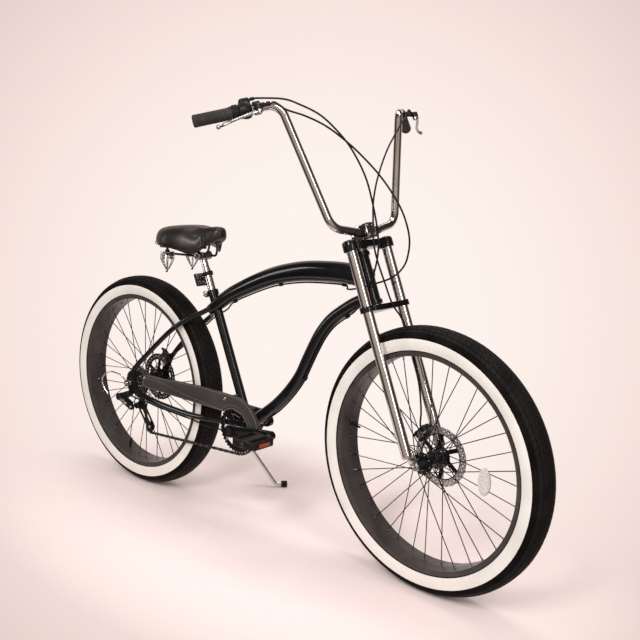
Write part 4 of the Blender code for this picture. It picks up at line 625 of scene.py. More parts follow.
# Rows of tread blocks: place across the tyre, half width, skew, radius, tilt in degrees
TREAD_ROWS = ((0.0068, 0.0062, 0.007, 0.3502, 4), (0.0196, 0.0062, 0.008, 0.3471, 19),
              (0.0308, 0.0052, 0.004, 0.3413, 39))
TREAD_BASE = Matrix(((0, 0, 1, 0), (1, 0, 0, 0), (0, 1, 0, 0), (0, 0, 0, 1)))


def spaced(count, place=None, start=0.0):
    """The same place turned evenly round Z."""
    return [Matrix.Rotation(2 * math.pi * (k + start) / count, 4, "Z") @ (place or Matrix())
            for k in range(count)]


def build_tyre(look, word, hub):
    piece = Piece(word + "_tyre_tread", hub @ AXLE, "tyre_rubber")
    side = [(0.2893, 0.0345), (0.29, 0.0362), (0.3, 0.0403), (0.311, 0.042), (0.3227, 0.0417), (0.33, 0.0398),
            (0.3355, 0.0365), (0.341, 0.0295), (0.3458, 0.019), (0.3484, 0.008)]
    casing = side + [(radius, -y) for radius, y in reversed(side)]
    piece.add(lathe(casing, look.round_steps * 2, True))
    outer = [(0.2925, 0.0381), (0.3, 0.0408), (0.311, 0.0425), (0.318, 0.0425), (0.3227, 0.0421)]
    inner = [(radius, y - 0.0016) for radius, y in reversed(outer)]
    for sign in (1, -1):
        band = [(radius, sign * y) for radius, y in outer + inner]
        piece.add(lathe(band, look.round_steps * 2, True), finish="whitewall")
        for radius, y in ((0.3255, 0.0409), (0.2912, 0.0371)):
            bead = circle(radius, sign * y, 0.0009, 4)
            piece.add(lathe(bead, look.round_steps * 2, True))
    pitch = 2 * math.pi * WHEEL_RADIUS / look.tread_blocks
    long = pitch / 2 - 0.001
    for sign in (1, -1):
        for y, reach, skew, radius, tilt in TREAD_ROWS:
            reach *= sign
            bar = [(-long - skew, -reach), (long - skew, -reach), (long + skew, reach), (-long + skew, reach)]
            place = at(radius - 0.0012, 0, sign * y) @ TREAD_BASE @ turned_by(-sign * tilt, "X")
            piece.add(slab([bar], 0.0024, 0.0004, 1), spaced(look.tread_blocks, place, y * 20),
                      "tread_rubber")
    piece.done(word + "_wheel", "tyre_rubber", word + "_tyre")


def build_rim(look, word, hub, valve_deg):
    piece = Piece(word + "_rim_band", hub @ AXLE, "rim_paint")
    side = [(0.29, 0.0362), (0.28, 0.0362), (0.2772, 0.0348), (RIM_INNER, 0.0315), (RIM_INNER, 0.012),
            (0.2758, 0.0085)]
    band = side + [(radius, -y) for radius, y in reversed(side)]
    piece.add(lathe(band, look.round_steps * 2, True))
    nipples = [along(rim_point(index, RIM_INNER + 0.0005), hub_point(index, FRONT_FLANGES))
               for index in range(SPOKES)]
    piece.add(rod(0.0022, 0, 0.011, 8, 0.0004), nipples, "silver")
    stem = turned_by(-valve_deg, "Z") @ at(RIM_INNER, 0, 0) @ turned_by(-90, "Y")
    piece.add(lathe([(0, 0.036), (0.0022, 0.036), (0.003, 0.033), (0.003, 0.024), (0.0026, 0.023),
                     (0.0042, 0.004), (0.0048, 0), (0, 0)], 16), stem, "black_plastic")
    piece.done(word + "_wheel", "black_rim", word + "_rim")


def rim_point(index, radius):
    """A spoke's end at the rim, every other spoke a little to the left."""
    spread = SPOKE_SPREAD if index % 2 == 0 else -SPOKE_SPREAD
    return Vector((*polar(radius, 2 * math.pi * index / SPOKES), spread))


def hub_point(index, flanges):
    """The same spoke's end at its flange, three crosses laced."""
    layer = 1 if index // 2 % 2 else -1
    lead = 2 * math.pi * index / SPOKES + math.radians(56 * layer)
    y = flanges[0] + layer * 0.0026 if index % 2 == 0 else flanges[1] - layer * 0.0026
    return Vector((*polar(0.025, lead), y))


def build_hub(look, word, hub, profile, flanges):
    piece = Piece(word + "_hub_lacing", hub @ AXLE)
    piece.add(lathe(profile, look.round_steps, True))
    for index in range(SPOKES):
        start = hub_point(index, flanges)
        piece.add(pipe([start, rim_point(index, RIM_INNER)], look.spoke_radius, 8))
        piece.add(ball(0.0024, 8), Matrix.Translation(start), "silver")
    piece.done(word + "_wheel", "black_paint", word + "_hub_spokes")


def build_rotor(look, word, hub, y, band):
    piece = Piece(word + "_brake_disc", hub @ AXLE @ at(0, 0, y))
    turns = [2 * math.pi * k / 192 for k in range(192)]
    outer = [polar(ROTOR_RADIUS - 0.0012 * (1 - math.cos(24 * turn)) / 2, turn) for turn in turns]
    holes = [circle(0, 0, 0.0615, 96)]
    carrier = [circle(0, 0, 0.0176, 32)]
    for middle in range(0, 360, 60):
        carrier.append(arc(0, 0, 0.059, middle - 24, middle + 24, 12)
                       + arc(0, 0, 0.029, middle + 10, middle - 26, 6))
    for k in range(32):
        for radius, shift, size in ((0.0757, 0.0, 0.0018), (0.0705, 0.5, 0.0024), (0.0653, 0.0, 0.0018)):
            holes.append(circle(*polar(radius, 2 * math.pi * (k + shift) / 32), size, 8))
    piece.add(slab([outer] + holes, 0.0018), finish=band)
    piece.add(slab([circle(0, 0, 0.0617, 96)] + carrier, 0.0022, 0.0003, 1))
    piece.add(bolt(0.0042, 0.0022), spaced(6, at(0.0238, 0, 0.0008), 0.5), "steel")
    piece.done(word + "_wheel", "steel", word + "_rotor")


def build_wheel_reflector(look):
    piece = Piece("spoke_lens", FRONT_HUB @ upright(0.176, -0.0145, -0.004), "clear_lens")
    piece.add(slab([oval(0.0172, 0.0352)], 0.0062, 0.001))
    for z in (0.0035, -0.0035):
        piece.add(slab([oval(0.0142, 0.0322)], 0.0026, 0.001), at(0, 0, z))
    for y in (0.027, -0.027):
        piece.add(block((0.005, 0.004, 0.0094), 0.001, 1), at(0, y, 0))
    piece.done("front_wheel", "clear_reflector", "wheel_reflector")


def build_wheels(look):
    front = [(0.0056, 0.0569), (0.009, 0.0569), (0.01, 0.056), (0.0172, 0.0482), (0.0172, 0.0457),
             (0.024, 0.0457), (0.024, 0.044), (0.0185, 0.0397), (0.0185, 0.034), (0.028, 0.0335),
             (0.029, 0.0325), (0.029, 0.0275), (0.028, 0.0265), (0.0175, 0.0235), (0.016, 0.02),
             (0.0155, 0.0), (0.016, -0.02), (0.0175, -0.0235), (0.028, -0.0265), (0.029, -0.0275),
             (0.029, -0.0325), (0.028, -0.0335), (0.02, -0.034), (0.0095, -0.0569), (0.0056, -0.0569)]
    rear = [(0.0056, 0.0669), (0.0095, 0.0669), (0.0172, 0.058), (0.0172, 0.0547), (0.024, 0.0547),
            (0.024, 0.053), (0.0185, 0.048), (0.0185, 0.04), (0.028, 0.0395), (0.029, 0.0385),
            (0.029, 0.0335), (0.028, 0.0325), (0.0185, 0.029), (0.0175, 0.024), (0.0175, -0.008),
            (0.0185, -0.013), (0.028, -0.0145), (0.029, -0.0155), (0.029, -0.0205), (0.028, -0.0215),
            (0.018, -0.0225), (0.0158, -0.0245), (0.0158, -0.062), (0.0095, -0.0669), (0.0056, -0.0669)]
    for word, hub, profile, flanges, disc, valve, band in (
            ("front", FRONT_HUB, front, FRONT_FLANGES, FRONT_ROTOR_Y, 172, "rotor_steel"),
            ("rear", REAR_HUB, rear, REAR_FLANGES, REAR_ROTOR_Y, 250, "dark_steel")):
        build_tyre(look, word, hub)
        build_rim(look, word, hub, valve)
        build_hub(look, word, hub, profile, flanges)
        build_rotor(look, word, hub, disc, band)
    build_wheel_reflector(look)


# Frame

# Middle lines on the upright bicycle: x, z, radius; x, z; x, y, z for both kinds of stay
TOP_TUBE_ROUTE = ((0.925, 0.798, 0.0285), (0.852, 0.803, 0.029), (0.767, 0.7995, 0.029),
                  (0.693, 0.7915, 0.0282), (0.6125, 0.7745, 0.0265), (0.548, 0.7535, 0.025),
                  (0.473, 0.722, 0.0235), (0.406, 0.6895, 0.0218), (0.359, 0.6585, 0.02),
                  (0.318, 0.632, 0.0165))
DOWN_TUBE_ROUTE = ((0.944, 0.75), (0.893, 0.728), (0.853, 0.704), (0.807, 0.67), (0.771, 0.628),
                   (0.744, 0.582), (0.72, 0.536), (0.696, 0.49), (0.657, 0.439), (0.609, 0.39),
                   (0.554, 0.346), (0.497, 0.3))
SEAT_STAY_ROUTE = ((0.335, 0.0095, 0.643), (0.305, 0.024, 0.624), (0.272, 0.046, 0.604),
                   (0.235, 0.0565, 0.581), (0.19, 0.059, 0.55), (0.14, 0.0595, 0.51), (0.09, 0.0625, 0.466),
                   (0.05, 0.0685, 0.428), (0.026, 0.0705, 0.4035))
CHAIN_STAY_ROUTE = ((0.49, 0.024, 0.302), (0.44, 0.032, 0.304), (0.4, 0.046, 0.304), (0.355, 0.0585, 0.303),
                    (0.25, 0.0605, 0.301), (0.14, 0.0625, 0.307), (0.08, 0.0675, 0.317),
                    (0.034, 0.0705, 0.329))


def head_frame(height):
    """Steering axis frame seen from the frame, straight ahead, at a height up the head tube."""
    up = Vector((-math.cos(math.radians(HEAD_ANGLE_DEG)), 0, math.sin(math.radians(HEAD_ANGLE_DEG))))
    foot = Vector((WHEELBASE, 0, WHEEL_RADIUS)) - FORK_OFFSET * Vector((up.z, 0, -up.x))
    return Matrix.Translation(foot + up * height) @ turned_by(HEAD_ANGLE_DEG - 90, "Y")


def build_frame(look):
    head = Piece("head_tube_shell", BIKE @ head_frame(HEAD_BOTTOM))
    head.add(lathe([(0.0132, 0.0005), (HEAD_RADIUS, 0.0005), (HEAD_RADIUS, HEAD_LENGTH - 0.0005),
                    (0.0132, HEAD_LENGTH - 0.0005)], look.round_steps, True))
    for low, high in ((0.0, 0.012), (HEAD_LENGTH - 0.012, HEAD_LENGTH)):
        head.add(ring(0.0132, 0.0243, low, high, look.round_steps, 0.0015))
    head.done("frame", "black_paint", "head_tube")

    top = Piece("top_tube_shell", BIKE)
    rows = smooth_path(TOP_TUBE_ROUTE, 56)
    top.add(pipe([(x, 0, z) for x, z, radius in rows], 0, 40, [radius for x, z, radius in rows]))
    weld(top, (0.925, 0, 0.798), (0.9355, 0, 0.797), 0.029)
    top.done("frame", "black_paint", "top_tube")

    down = Piece("down_tube_shell", BIKE)
    down.add(pipe([(x, 0, z) for x, z in smooth_path(DOWN_TUBE_ROUTE, 64)], DOWN_TUBE_RADIUS, 32))
    weld(down, (0.944, 0, 0.75), (0.949, 0, 0.7525), 0.018)
    down.done("frame", "black_paint", "down_tube")

    seat = Piece("seat_tube_shell", BIKE @ seat_frame(0))
    seat.add(lathe([(0.0128, SEAT_TUBE_LENGTH), (SEAT_TUBE_RADIUS, SEAT_TUBE_LENGTH),
                    (SEAT_TUBE_RADIUS, 0.018), (0.0128, 0.018)], look.round_steps, True))
    seat.done("frame", "black_paint", "seat_tube")

    shell = Piece("bracket_shell", BIKE @ Matrix.Translation(BB) @ AXLE, "dark_steel")
    shell.add(ring(0.0125, BB_RADIUS, -BB_HALF_LENGTH, BB_HALF_LENGTH, look.round_steps, 0.001),
              finish="black_paint")
    for sign in (1, -1):
        cup = sorted((sign * (BB_HALF_LENGTH - 0.001), sign * (BB_HALF_LENGTH + 0.0035)))
        shell.add(ring(0.0105, 0.019, *cup, look.round_steps, 0.0008))
        shell.add(block((0.0045, 0.0022, 0.0016), 0.0003, 1),
                  spaced(8, at(0.018, 0, sign * (BB_HALF_LENGTH + 0.003))))
    shell.done("frame", "black_paint", "bb_shell")

    for side, word in SIDES:
        for kind, route, radius in (("seat", SEAT_STAY_ROUTE, SEAT_STAY_RADIUS),
                                    ("chain", CHAIN_STAY_ROUTE, CHAIN_STAY_RADIUS)):
            stay = Piece("%s_stay_shell_%s" % (kind, word), BIKE)
            stay.add(pipe(smooth_path([(x, side * y, z) for x, y, z in route], 48), radius, 24))
            if kind == "chain":
                add_dropout(stay, side)
            stay.done("frame", "black_paint", "%s_stay_%s" % (kind, word))


def weld(piece, start, end, radius):
    """A soft bead of weld round a tube's end, its axis from start to end."""
    section = [(radius + 0.0011 * math.cos(a), 0.0015 + 0.0022 * math.sin(a))
               for a in (0.5, 1.6, 2.8, 4.0, 5.2)]
    piece.add(lathe(section, 48, True), along(start, end))


def add_dropout(piece, side):
    """Dropout plate between the stays' ends, with a hanger on the drive side."""
    outline = []
    for route, lap, reach in ((CHAIN_STAY_ROUTE, -0.006, 0.0085),
                              (SEAT_STAY_ROUTE, 0.0006, SEAT_STAY_RADIUS)):
        end, before = Vector(route[-1]), Vector(route[-2])
        run = Vector((end.x - before.x, end.z - before.z)).normalized()
        tip = Vector((end.x, end.z)) + run * lap
        across = Vector((-run.y, run.x)) * reach
        outline += [tuple(tip + across), tuple(tip - across)]
    outline.insert(2, (0.03, 0.362))
    outline += arc(0, WHEEL_RADIUS, 0.0165, 120, 245, 14)
    hanger = [(-0.003, 0.328), (0.001, 0.309), (0.013, 0.307), (0.016, 0.318)]
    outline += hanger if side < 0 else [(0.01, 0.331)]
    piece.add(slab([outline, circle(0, WHEEL_RADIUS, 0.0052, 20)], REAR_PLATE, 0.0009, 2),
              upright(0, side * (REAR_INNER + REAR_PLATE / 2), 0))


def build_axles(look):
    for word, place, outer, nut, reach, body in (
            ("front", STEER @ at(FORK_OFFSET, 0, 0) @ AXLE, 0.0628, 0.008, 0.012, "steering"),
            ("rear", REAR_HUB @ AXLE, 0.0738, 0.009, 0.016, "frame")):
        piece = Piece(word + "_axle_nuts", place, "silver")
        piece.add(rod(AXLE_RADIUS, -outer - reach, outer + reach, 24, 0.0008))
        for flip in (1, -1):
            end = Matrix.Scale(flip, 4, (0, 0, 1))
            piece.add(ring(0.0048, 0.0105, outer, outer + 0.0016, 32, 0.0003), end)
            piece.add(bolt(0.0086, nut - 0.0022, 6), end @ at(0, 0, outer + 0.0016))
        piece.done(body, "silver", word + "_axle")


# Seat

# Cross sections of the saddle from the tail: x, half width, rim height, top height, share hollow underneath
SADDLE_SECTIONS = ((0.112, 0.024, 0.846, 0.856, 0.0), (0.119, 0.046, 0.834, 0.866, 0.0),
                   (0.14, 0.075, 0.8215, 0.877, 0.08), (0.172, 0.095, 0.8165, 0.8822, 0.18),
                   (0.205, 0.103, 0.815, 0.8855, 0.28), (0.235, 0.098, 0.812, 0.8868, 0.34),
                   (0.262, 0.085, 0.806, 0.8866, 0.42), (0.285, 0.068, 0.799, 0.8845, 0.48),
                   (0.305, 0.052, 0.805, 0.8852, 0.45), (0.325, 0.041, 0.825, 0.888, 0.18),
                   (0.349, 0.034, 0.84, 0.8912, 0.0), (0.36, 0.029, 0.847, 0.8922, 0.0),
                   (0.37, 0.019, 0.855, 0.888, 0.0), (0.374, 0.009, 0.863, 0.881, 0.0))
# One side of a section and its hollow: share of the half width, share of the height
SADDLE_SIDE = ((0.0, 1.0), (0.35, 0.985), (0.65, 0.92), (0.86, 0.76), (0.97, 0.5), (1.0, 0.28), (0.985, 0.1),
               (0.93, 0.0))
SADDLE_HOLLOW = ((0.84, 0.06), (0.72, 0.6), (0.4, 0.95), (0.0, 1.0))


def saddle_row(row, shrink):
    """Ring of points round one cross section of the saddle."""
    x, half, low, high, hollow = row
    half, low, high = max(half - shrink, 0.004), low + shrink / 2, high - shrink
    side = [(u * half, low + (high - low) * v) for u, v in SADDLE_SIDE]
    side += [(u * half, low + (high - low) * hollow * v) for u, v in SADDLE_HOLLOW]
    side = smooth_path(side, 26)
    return [(x, y, z) for y, z in side] + [(x, -y, z) for y, z in side[-2:0:-1]]


def build_saddle(look):
    shrink = 0.0035
    rows = smooth_path(SADDLE_SECTIONS, 34)
    work = bmesh.new()
    loops = []
    for row in rows:
        verts = [work.verts.new(point) for point in saddle_row(row, shrink)]
        loops.append([work.edges.new((one, two)) for one, two in zip(verts, verts[1:] + verts[:1])])
    for one, two in zip(loops, loops[1:]):
        bmesh.ops.bridge_loops(work, edges=one + two)
    bmesh.ops.holes_fill(work, edges=loops[0] + loops[-1], sides=0)
    piece = Piece("saddle_cover", BIKE, "black_leather")
    piece.add(work)
    cover = piece.done("frame", "black_leather", "saddle", sharp=60)
    puff_up(cover, 0.004)
    build_saddle_trim()


def puff_up(item, reach):
    """Swell a closed cover with cloth pressure, never further than reach, and keep the result."""
    remesh = item.modifiers.new("even", "REMESH")
    remesh.mode = "VOXEL"
    remesh.voxel_size = 0.004
    remesh.use_smooth_shade = True
    settle(item)
    start = [vert.co.copy() for vert in item.data.vertices]
    cloth = item.modifiers.new("swell", "CLOTH")
    cloth.settings.use_pressure = True
    cloth.settings.uniform_pressure_force = 4.0
    cloth.settings.effector_weights.gravity = 0.0
    cloth.settings.quality = 5
    for number in range(1, 21):
        bpy.context.scene.frame_set(number)
    settle(item)
    for vert, place in zip(item.data.vertices, start):
        move = vert.co - place
        if move.length > reach:
            vert.co = place + move.normalized() * reach
    bpy.context.scene.frame_set(1)
    work = bmesh.new()
    work.from_mesh(item.data)
    bmesh.ops.smooth_vert(work, verts=work.verts, factor=0.5, use_axis_x=True, use_axis_y=True,
                          use_axis_z=True)
    bmesh.ops.subdivide_edges(work, edges=work.edges, cuts=1, use_grid_fill=True, smooth=0.4)
    work.to_mesh(item.data)
    work.free()
    item.data.shade_smooth()


def settle(item):
    """Turn an object's modifiers into its own mesh and take them off."""
    view = bpy.context.evaluated_depsgraph_get()
    mesh = bpy.data.meshes.new_from_object(item.evaluated_get(view))
    item.modifiers.clear()
    item.data = mesh


def build_saddle_trim():
    """Piping low round the saddle's side and the pan its springs bolt to."""
    trim = Piece("saddle_seams", BIKE, "black_plastic")
    rows = smooth_path(SADDLE_SECTIONS, 60)
    for side in (1, -1):
        edge = [(x, side * (half - 0.0016), low + (high - low) * 0.17)
                for x, half, low, high, hollow in rows[8:-14]]
        trim.add(pipe(edge, 0.0011, 8), finish="black_leather")
    pan = arc(0.175, 0, 0.066, 110, 250, 20) + [(0.262, -0.03), (0.262, 0.03)]
    trim.add(slab([pan], 0.01, 0.002, 2), at(0, 0, 0.819))
    trim.add(slab([[(0.25, -0.016), (0.35, -0.01), (0.35, 0.01), (0.25, 0.016)]], 0.006, 0.0015, 1),
             at(0, 0, 0.844))
    trim.done("frame", "black_leather", sharp=60)


def build_seat_post(look):
    post = Piece("seat_pillar", BIKE @ seat_frame(0), "steel")
    post.add(lathe([(0, POST_TOP), (0.0105, POST_TOP), (0.011, POST_TOP - 0.0005), (0.011, POST_TOP - 0.045),
                    (POST_RADIUS, POST_TOP - 0.052), (POST_RADIUS, SEAT_TUBE_LENGTH - 0.0697),
                    (0, SEAT_TUBE_LENGTH - 0.0697)], look.round_steps), finish="chrome")
    for k in range(6):
        height = SEAT_TUBE_LENGTH + 0.016 + 0.006 * k
        post.add(ring(POST_RADIUS - 0.0004, POST_RADIUS + 0.00012, height, height + 0.0006, 40),
                 finish="dark_steel")
    clamp_x = seat_point(POST_TOP).x + 0.004
    clamp = seat_frame(0).inverted() @ at(clamp_x, 0, RAIL_HEIGHT)
    post.add(block((0.034, 0.036, 0.017), 0.004), clamp, "silver")
    for side in (1, -1):
        jaw = clamp @ at(0, side * 0.0235, 0) @ AXLE @ Matrix.Scale(side, 4, (0, 0, 1))
        cap = [(0, 0.0045), (0.011, 0.0045), (0.0135, 0.002), (0.0135, -0.0045), (0, -0.0045)]
        post.add(lathe(cap, 32), jaw)
        post.add(bolt(0.0065, 0.005, 6), jaw @ at(0, 0, 0.0045))
    post.done("frame", "chrome", "seat_post")

    collar = Piece("seat_clamp", BIKE @ seat_frame(SEAT_TUBE_LENGTH), "silver")
    collar.add(ring(0.0146, 0.0181, -0.018, -0.001, look.round_steps, 0.0008), finish="black_paint")
    for side in (1, -1):
        collar.add(block((0.014, 0.0055, 0.013), 0.0015), at(-0.0205, side * 0.005, -0.0095),
                   finish="black_paint")
    collar.add(rod(0.0024, -0.0135, 0.0135, 16), at(-0.0225, 0, -0.0095) @ AXLE)
    collar.add(bolt(0.0055, 0.005), at(-0.0225, 0.0085, -0.0095) @ AXLE)
    collar.add(lathe([(0, 0.0065), (0.0052, 0.0065), (0.0064, 0.0045), (0.0064, 0), (0, 0)], 24),
               upright(-0.0225, -0.0085, -0.0095))
    lever = [(-0.0225, -0.0125, -0.0095), (-0.0265, -0.0145, -0.0085), (-0.0275, -0.012, 0.001),
             (-0.024, -0.006, 0.003)]
    collar.add(pipe(smooth_path(lever, 12), 0.0022, 10))
    collar.done("frame", "black_paint", "seat_collar")


# A spring's strand below its coil: distance from the spring's middle, height
SPRING_STRAND = ((0.0205, 0.779), (0.0186, 0.774), (0.0115, 0.76), (0.0036, 0.746))


def build_saddle_springs(look):
    rails = Piece("saddle_wirework", BIKE, "dark_steel")
    half = [(0.172, 0.052, 0.7976), (0.215, 0.045, 0.7976), (0.262, 0.024, 0.7966), (0.3, 0.022, 0.7966),
            (0.314, 0.021, 0.799), (0.321, 0.019, 0.809), (0.325, 0.017, 0.826), (0.327, 0.012, 0.845),
            (0.327, 0.0, 0.85)]
    loop = half + [(x, -y, z) for x, y, z in reversed(half[:-1])]
    rails.add(pipe(smooth_path(loop, 120), 0.0035, 16))
    for side in (1, -1):
        x, y = SPRING_PLACE[0], side * SPRING_PLACE[1]
        turns = [2.6 * k / 119 for k in range(120)]
        coil = [(*polar(0.0205, 2 * math.pi * turn, x, y), 0.7975 - 0.019 * turn / 2.6) for turn in turns]
        rails.add(pipe(coil, 0.0029, 12), finish="chrome")
        for k in range(8):
            strand = [(*polar(wide, 2 * math.pi * k / 8, x, y), height) for wide, height in SPRING_STRAND]
            rails.add(pipe(smooth_path(strand, 14), 0.0016, 8), finish="chrome")
        hook = [(x, y, 0.748), (x, y, 0.742), (x - 0.003, y, 0.7385), (x - 0.006, y, 0.74)]
        rails.add(pipe(smooth_path(hook, 14), 0.0022, 10))
        rails.add(ring(0.004, 0.0205, 0.7925, 0.795, 36, 0.0008), at(x, y, 0), "chrome")
        rails.add(ring(0.004, 0.0225, 0.8003, 0.803, 36, 0.0008), at(x, y, 0), "chrome")
        rails.add(rod(0.0042, 0.788, 0.815, 20), at(x, y, 0))
        rails.add(bolt(0.0078, 0.005, 6), at(x, y, 0.803))
    rails.done("frame", "steel", "saddle_rails")


def build_rear_reflector(look):
    back = Vector((-SEAT_UP.z, 0, SEAT_UP.x))
    place = seat_frame(REFLECTOR_HEIGHT)
    piece = Piece("tail_lens", BIKE @ place, "black_plastic")
    piece.add(ring(0.0127, 0.0165, -0.006, 0.006, look.round_steps, 0.0008))
    piece.add(block((0.016, 0.01, 0.01), 0.0015), at(-0.02, 0, -0.003))
    centre = place.inverted() @ (seat_point(REFLECTOR_HEIGHT) + back * 0.039 - SEAT_UP * 0.007)
    piece.add(block((0.01, 0.042, 0.04), 0.0028), Matrix.Translation(centre) @ at(0.001, 0, 0))
    for x in (-0.0048, 0.0052):
        piece.add(block((0.0024, 0.0365, 0.0345), 0.0011), Matrix.Translation(centre) @ at(x, 0, 0),
                  "black_lens")
    piece.add(bolt(0.003, 0.0022), upright(-0.02, -0.005, -0.003), "steel")
    piece.done("frame", "clear_reflector", "rear_reflector")


# Steering, in the steering frame: X forward, Y to the left, Z up the axis

def crown_outline(end_radius, middle_radius):
    ends = LEG_HALF_SPACING
    right = arc(LEG_OFFSET, -ends, end_radius, 150, 380, 20)
    front = [(LEG_OFFSET + 0.012, -ends + 0.03), (LEG_OFFSET + 0.01, 0), (LEG_OFFSET + 0.012, ends - 0.03)]
    left = arc(LEG_OFFSET, ends, end_radius, -20, 210, 20)
    return right + front + left + arc(0, 0, middle_radius, 120, 240, 16)


def build_crowns(look):
    low = Piece("lower_fork_crown", STEER, "silver")
    middle = CROWN_LOWER_TOP - CROWN_LOWER_HEIGHT / 2
    holes = [circle(LEG_OFFSET, y, LEG_RADIUS + GAP, 40) for y in (-LEG_HALF_SPACING, LEG_HALF_SPACING)]
    low.add(slab([crown_outline(0.0195, 0.024)] + holes, CROWN_LOWER_HEIGHT, 0.0022, 3), at(0, 0, middle),
            finish="black_paint")
    low.add(rod(0.0127, CROWN_LOWER_TOP - 0.004, CROWN_UPPER_BOTTOM - 0.0008, 40), finish="steel")
    low.add(ring(0.0125, 0.0205, CROWN_LOWER_TOP, CROWN_LOWER_TOP + 0.0048, 48, 0.0008))
    low.add(ring(0.0125, 0.0205, CROWN_UPPER_BOTTOM - 0.0048, CROWN_UPPER_BOTTOM - 0.0006, 48, 0.0008))
    for side in (1, -1):
        low.add(bolt(0.0036, 0.0045), at(LEG_OFFSET - 0.017, side * (LEG_HALF_SPACING - 0.024), middle)
                @ turned_by(-90, "Y"))
    low.done("steering", "black_paint", "crown_lower")

    high = Piece("upper_fork_crown", STEER)
    middle = CROWN_UPPER_BOTTOM + CROWN_UPPER_HEIGHT / 2
    high.add(slab([crown_outline(0.0195, 0.022)], CROWN_UPPER_HEIGHT, 0.003, 3), at(0, 0, middle))
    for y in (-LEG_HALF_SPACING, LEG_HALF_SPACING):
        hump = at(LEG_OFFSET, y, CROWN_UPPER_BOTTOM)
        high.add(lathe([(0, 0.0222), (0.011, 0.0222), (0.015, 0.0216), (0.018, 0.0196), (0.0198, 0.0165),
                        (0.0205, 0.013), (0.0205, -0.0045), (0.0195, -0.006), (0, -0.006)], look.round_steps),
                 hump)
        high.add(lathe([(0, 0.0212), (0.0034, 0.0212), (0.0034, 0.0232), (0.006, 0.0235), (0.0068, 0.0228),
                        (0.0072, 0.0215), (0.0072, 0.0205), (0, 0.0205)], 32), hump, "silver")
        inward = math.copysign(LEG_HALF_SPACING - 0.024, y)
        high.add(bolt(0.0036, 0.0045), at(LEG_OFFSET - 0.017, inward, middle) @ turned_by(-90, "Y"),
                 "silver")
    high.done("steering", "black_paint", "crown_upper")


def build_fork(look):
    top = CROWN_UPPER_BOTTOM - 0.0063
    for side, word in SIDES:
        y = side * LEG_HALF_SPACING
        leg = Piece("fork_tube_" + word, STEER, "chrome")
        leg.add(lathe([(0, top), (LEG_RADIUS - 0.0005, top), (LEG_RADIUS, top - 0.0005), (LEG_RADIUS, 0.031),
                       (LEG_RADIUS - 0.001, 0.0255), (LEG_RADIUS - 0.0035, 0.0226),
                       (LEG_RADIUS - 0.006, 0.022), (0, 0.022)], look.round_steps), at(LEG_OFFSET, y, 0))
        outline = [(LEG_OFFSET - 0.009, 0.045), (LEG_OFFSET - 0.009, 0.012)]
        outline += arc(FORK_OFFSET, 0, 0.0125, 200, 380, 24) + [(LEG_OFFSET + 0.012, 0.045)]
        leg.add(slab([outline, circle(FORK_OFFSET, 0, 0.0052, 20)], 0.005, 0.0009, 2),
                upright(0, side * 0.06, 0))
        leg.done("steering", "chrome", "fork_leg_" + word)


def bar_route():
    """Middle line of the handlebar, from its right end to its left."""
    left = [BAR_LOW_CORNER, BAR_TOP_CORNER, BAR_END]
    right = [(x, -y, z) for x, y, z in reversed(left)]
    corners = right + [(BAR_FORWARD, -0.035, BAR_RISE_START), (BAR_FORWARD, 0.035, BAR_RISE_START)] + left
    return rounded_path(corners, [0.04, 0.055, 0.1, 0.1, 0.055, 0.04], 14)


def grip_place(side, distance):
    """Place on the bar's end run, Z outward, distance in from the end."""
    end = Vector((BAR_END[0], BAR_END[1] * side, BAR_END[2]))
    corner = Vector((BAR_TOP_CORNER[0], BAR_TOP_CORNER[1] * side, BAR_TOP_CORNER[2]))
    out = (end - corner).normalized()
    return along(end - out * distance, end + out)


def lever_frame(side):
    """Frame at a brake lever's clamp: X forward of the bar, Y down, Z outward along it."""
    place = grip_place(side, LEVER_DISTANCE)
    out = place.to_3x3().col[2].normalized()
    forward = Vector((0, 0, -side)).cross(out).normalized()
    down = out.cross(forward) * side
    return Matrix.Translation(place.translation) @ Matrix((forward, down, out)).transposed().to_4x4()


def build_handlebar(look):
    bar = Piece("riser_bar", STEER, "chrome")
    bar.add(pipe(bar_route(), BAR_RADIUS, 32))
    bar.add(ring(0.0105, 0.01155, -0.024, 0.024, 40), at(BAR_FORWARD, 0, BAR_RISE_START) @ AXLE)
    bar.done("steering", "chrome", "handlebar")

    low = CROWN_UPPER_BOTTOM + CROWN_UPPER_HEIGHT + GAP
    stem = Piece("bar_clamp_stem", STEER, "chrome")
    centre = at(BAR_FORWARD, 0, BAR_RISE_START)
    stem.add(slab([[(-0.018, -0.02), (0.018, -0.02), (0.018, 0.02), (-0.018, 0.02)],
                   circle(0, 0, BAR_RADIUS + GAP, 40)], 0.036, 0.003, 3), centre @ turned_by(90, "X"))
    stem.add(block((0.04, 0.028, 0.022), 0.003), at(0.014, 0, low + 0.02))
    stem.add(rod(0.0125, low, low + 0.022, 40, 0.001))
    for z in (0.0125, -0.0125):
        for y in (0.01, -0.01):
            stem.add(bolt(0.004, 0.0034), centre @ at(0.0178, y, z) @ turned_by(90, "Y"), "steel")
    stem.add(bolt(0.0052, 0.006), at(0, 0, low + 0.0305), "steel")
    for sign in (1, -1):
        knurl = centre @ at(0, sign * 0.0255, 0) @ AXLE
        stem.add(ring(BAR_RADIUS + GAP, 0.0128, -0.006, 0.006, 40, 0.0006), knurl, "black_plastic")
        stem.add(block((0.0016, 0.0011, 0.0104), 0.0003, 1),
                 [knurl @ turn for turn in spaced(28, at(0.0128, 0, 0))], "black_plastic")
    stem.done("steering", "chrome", "stem")


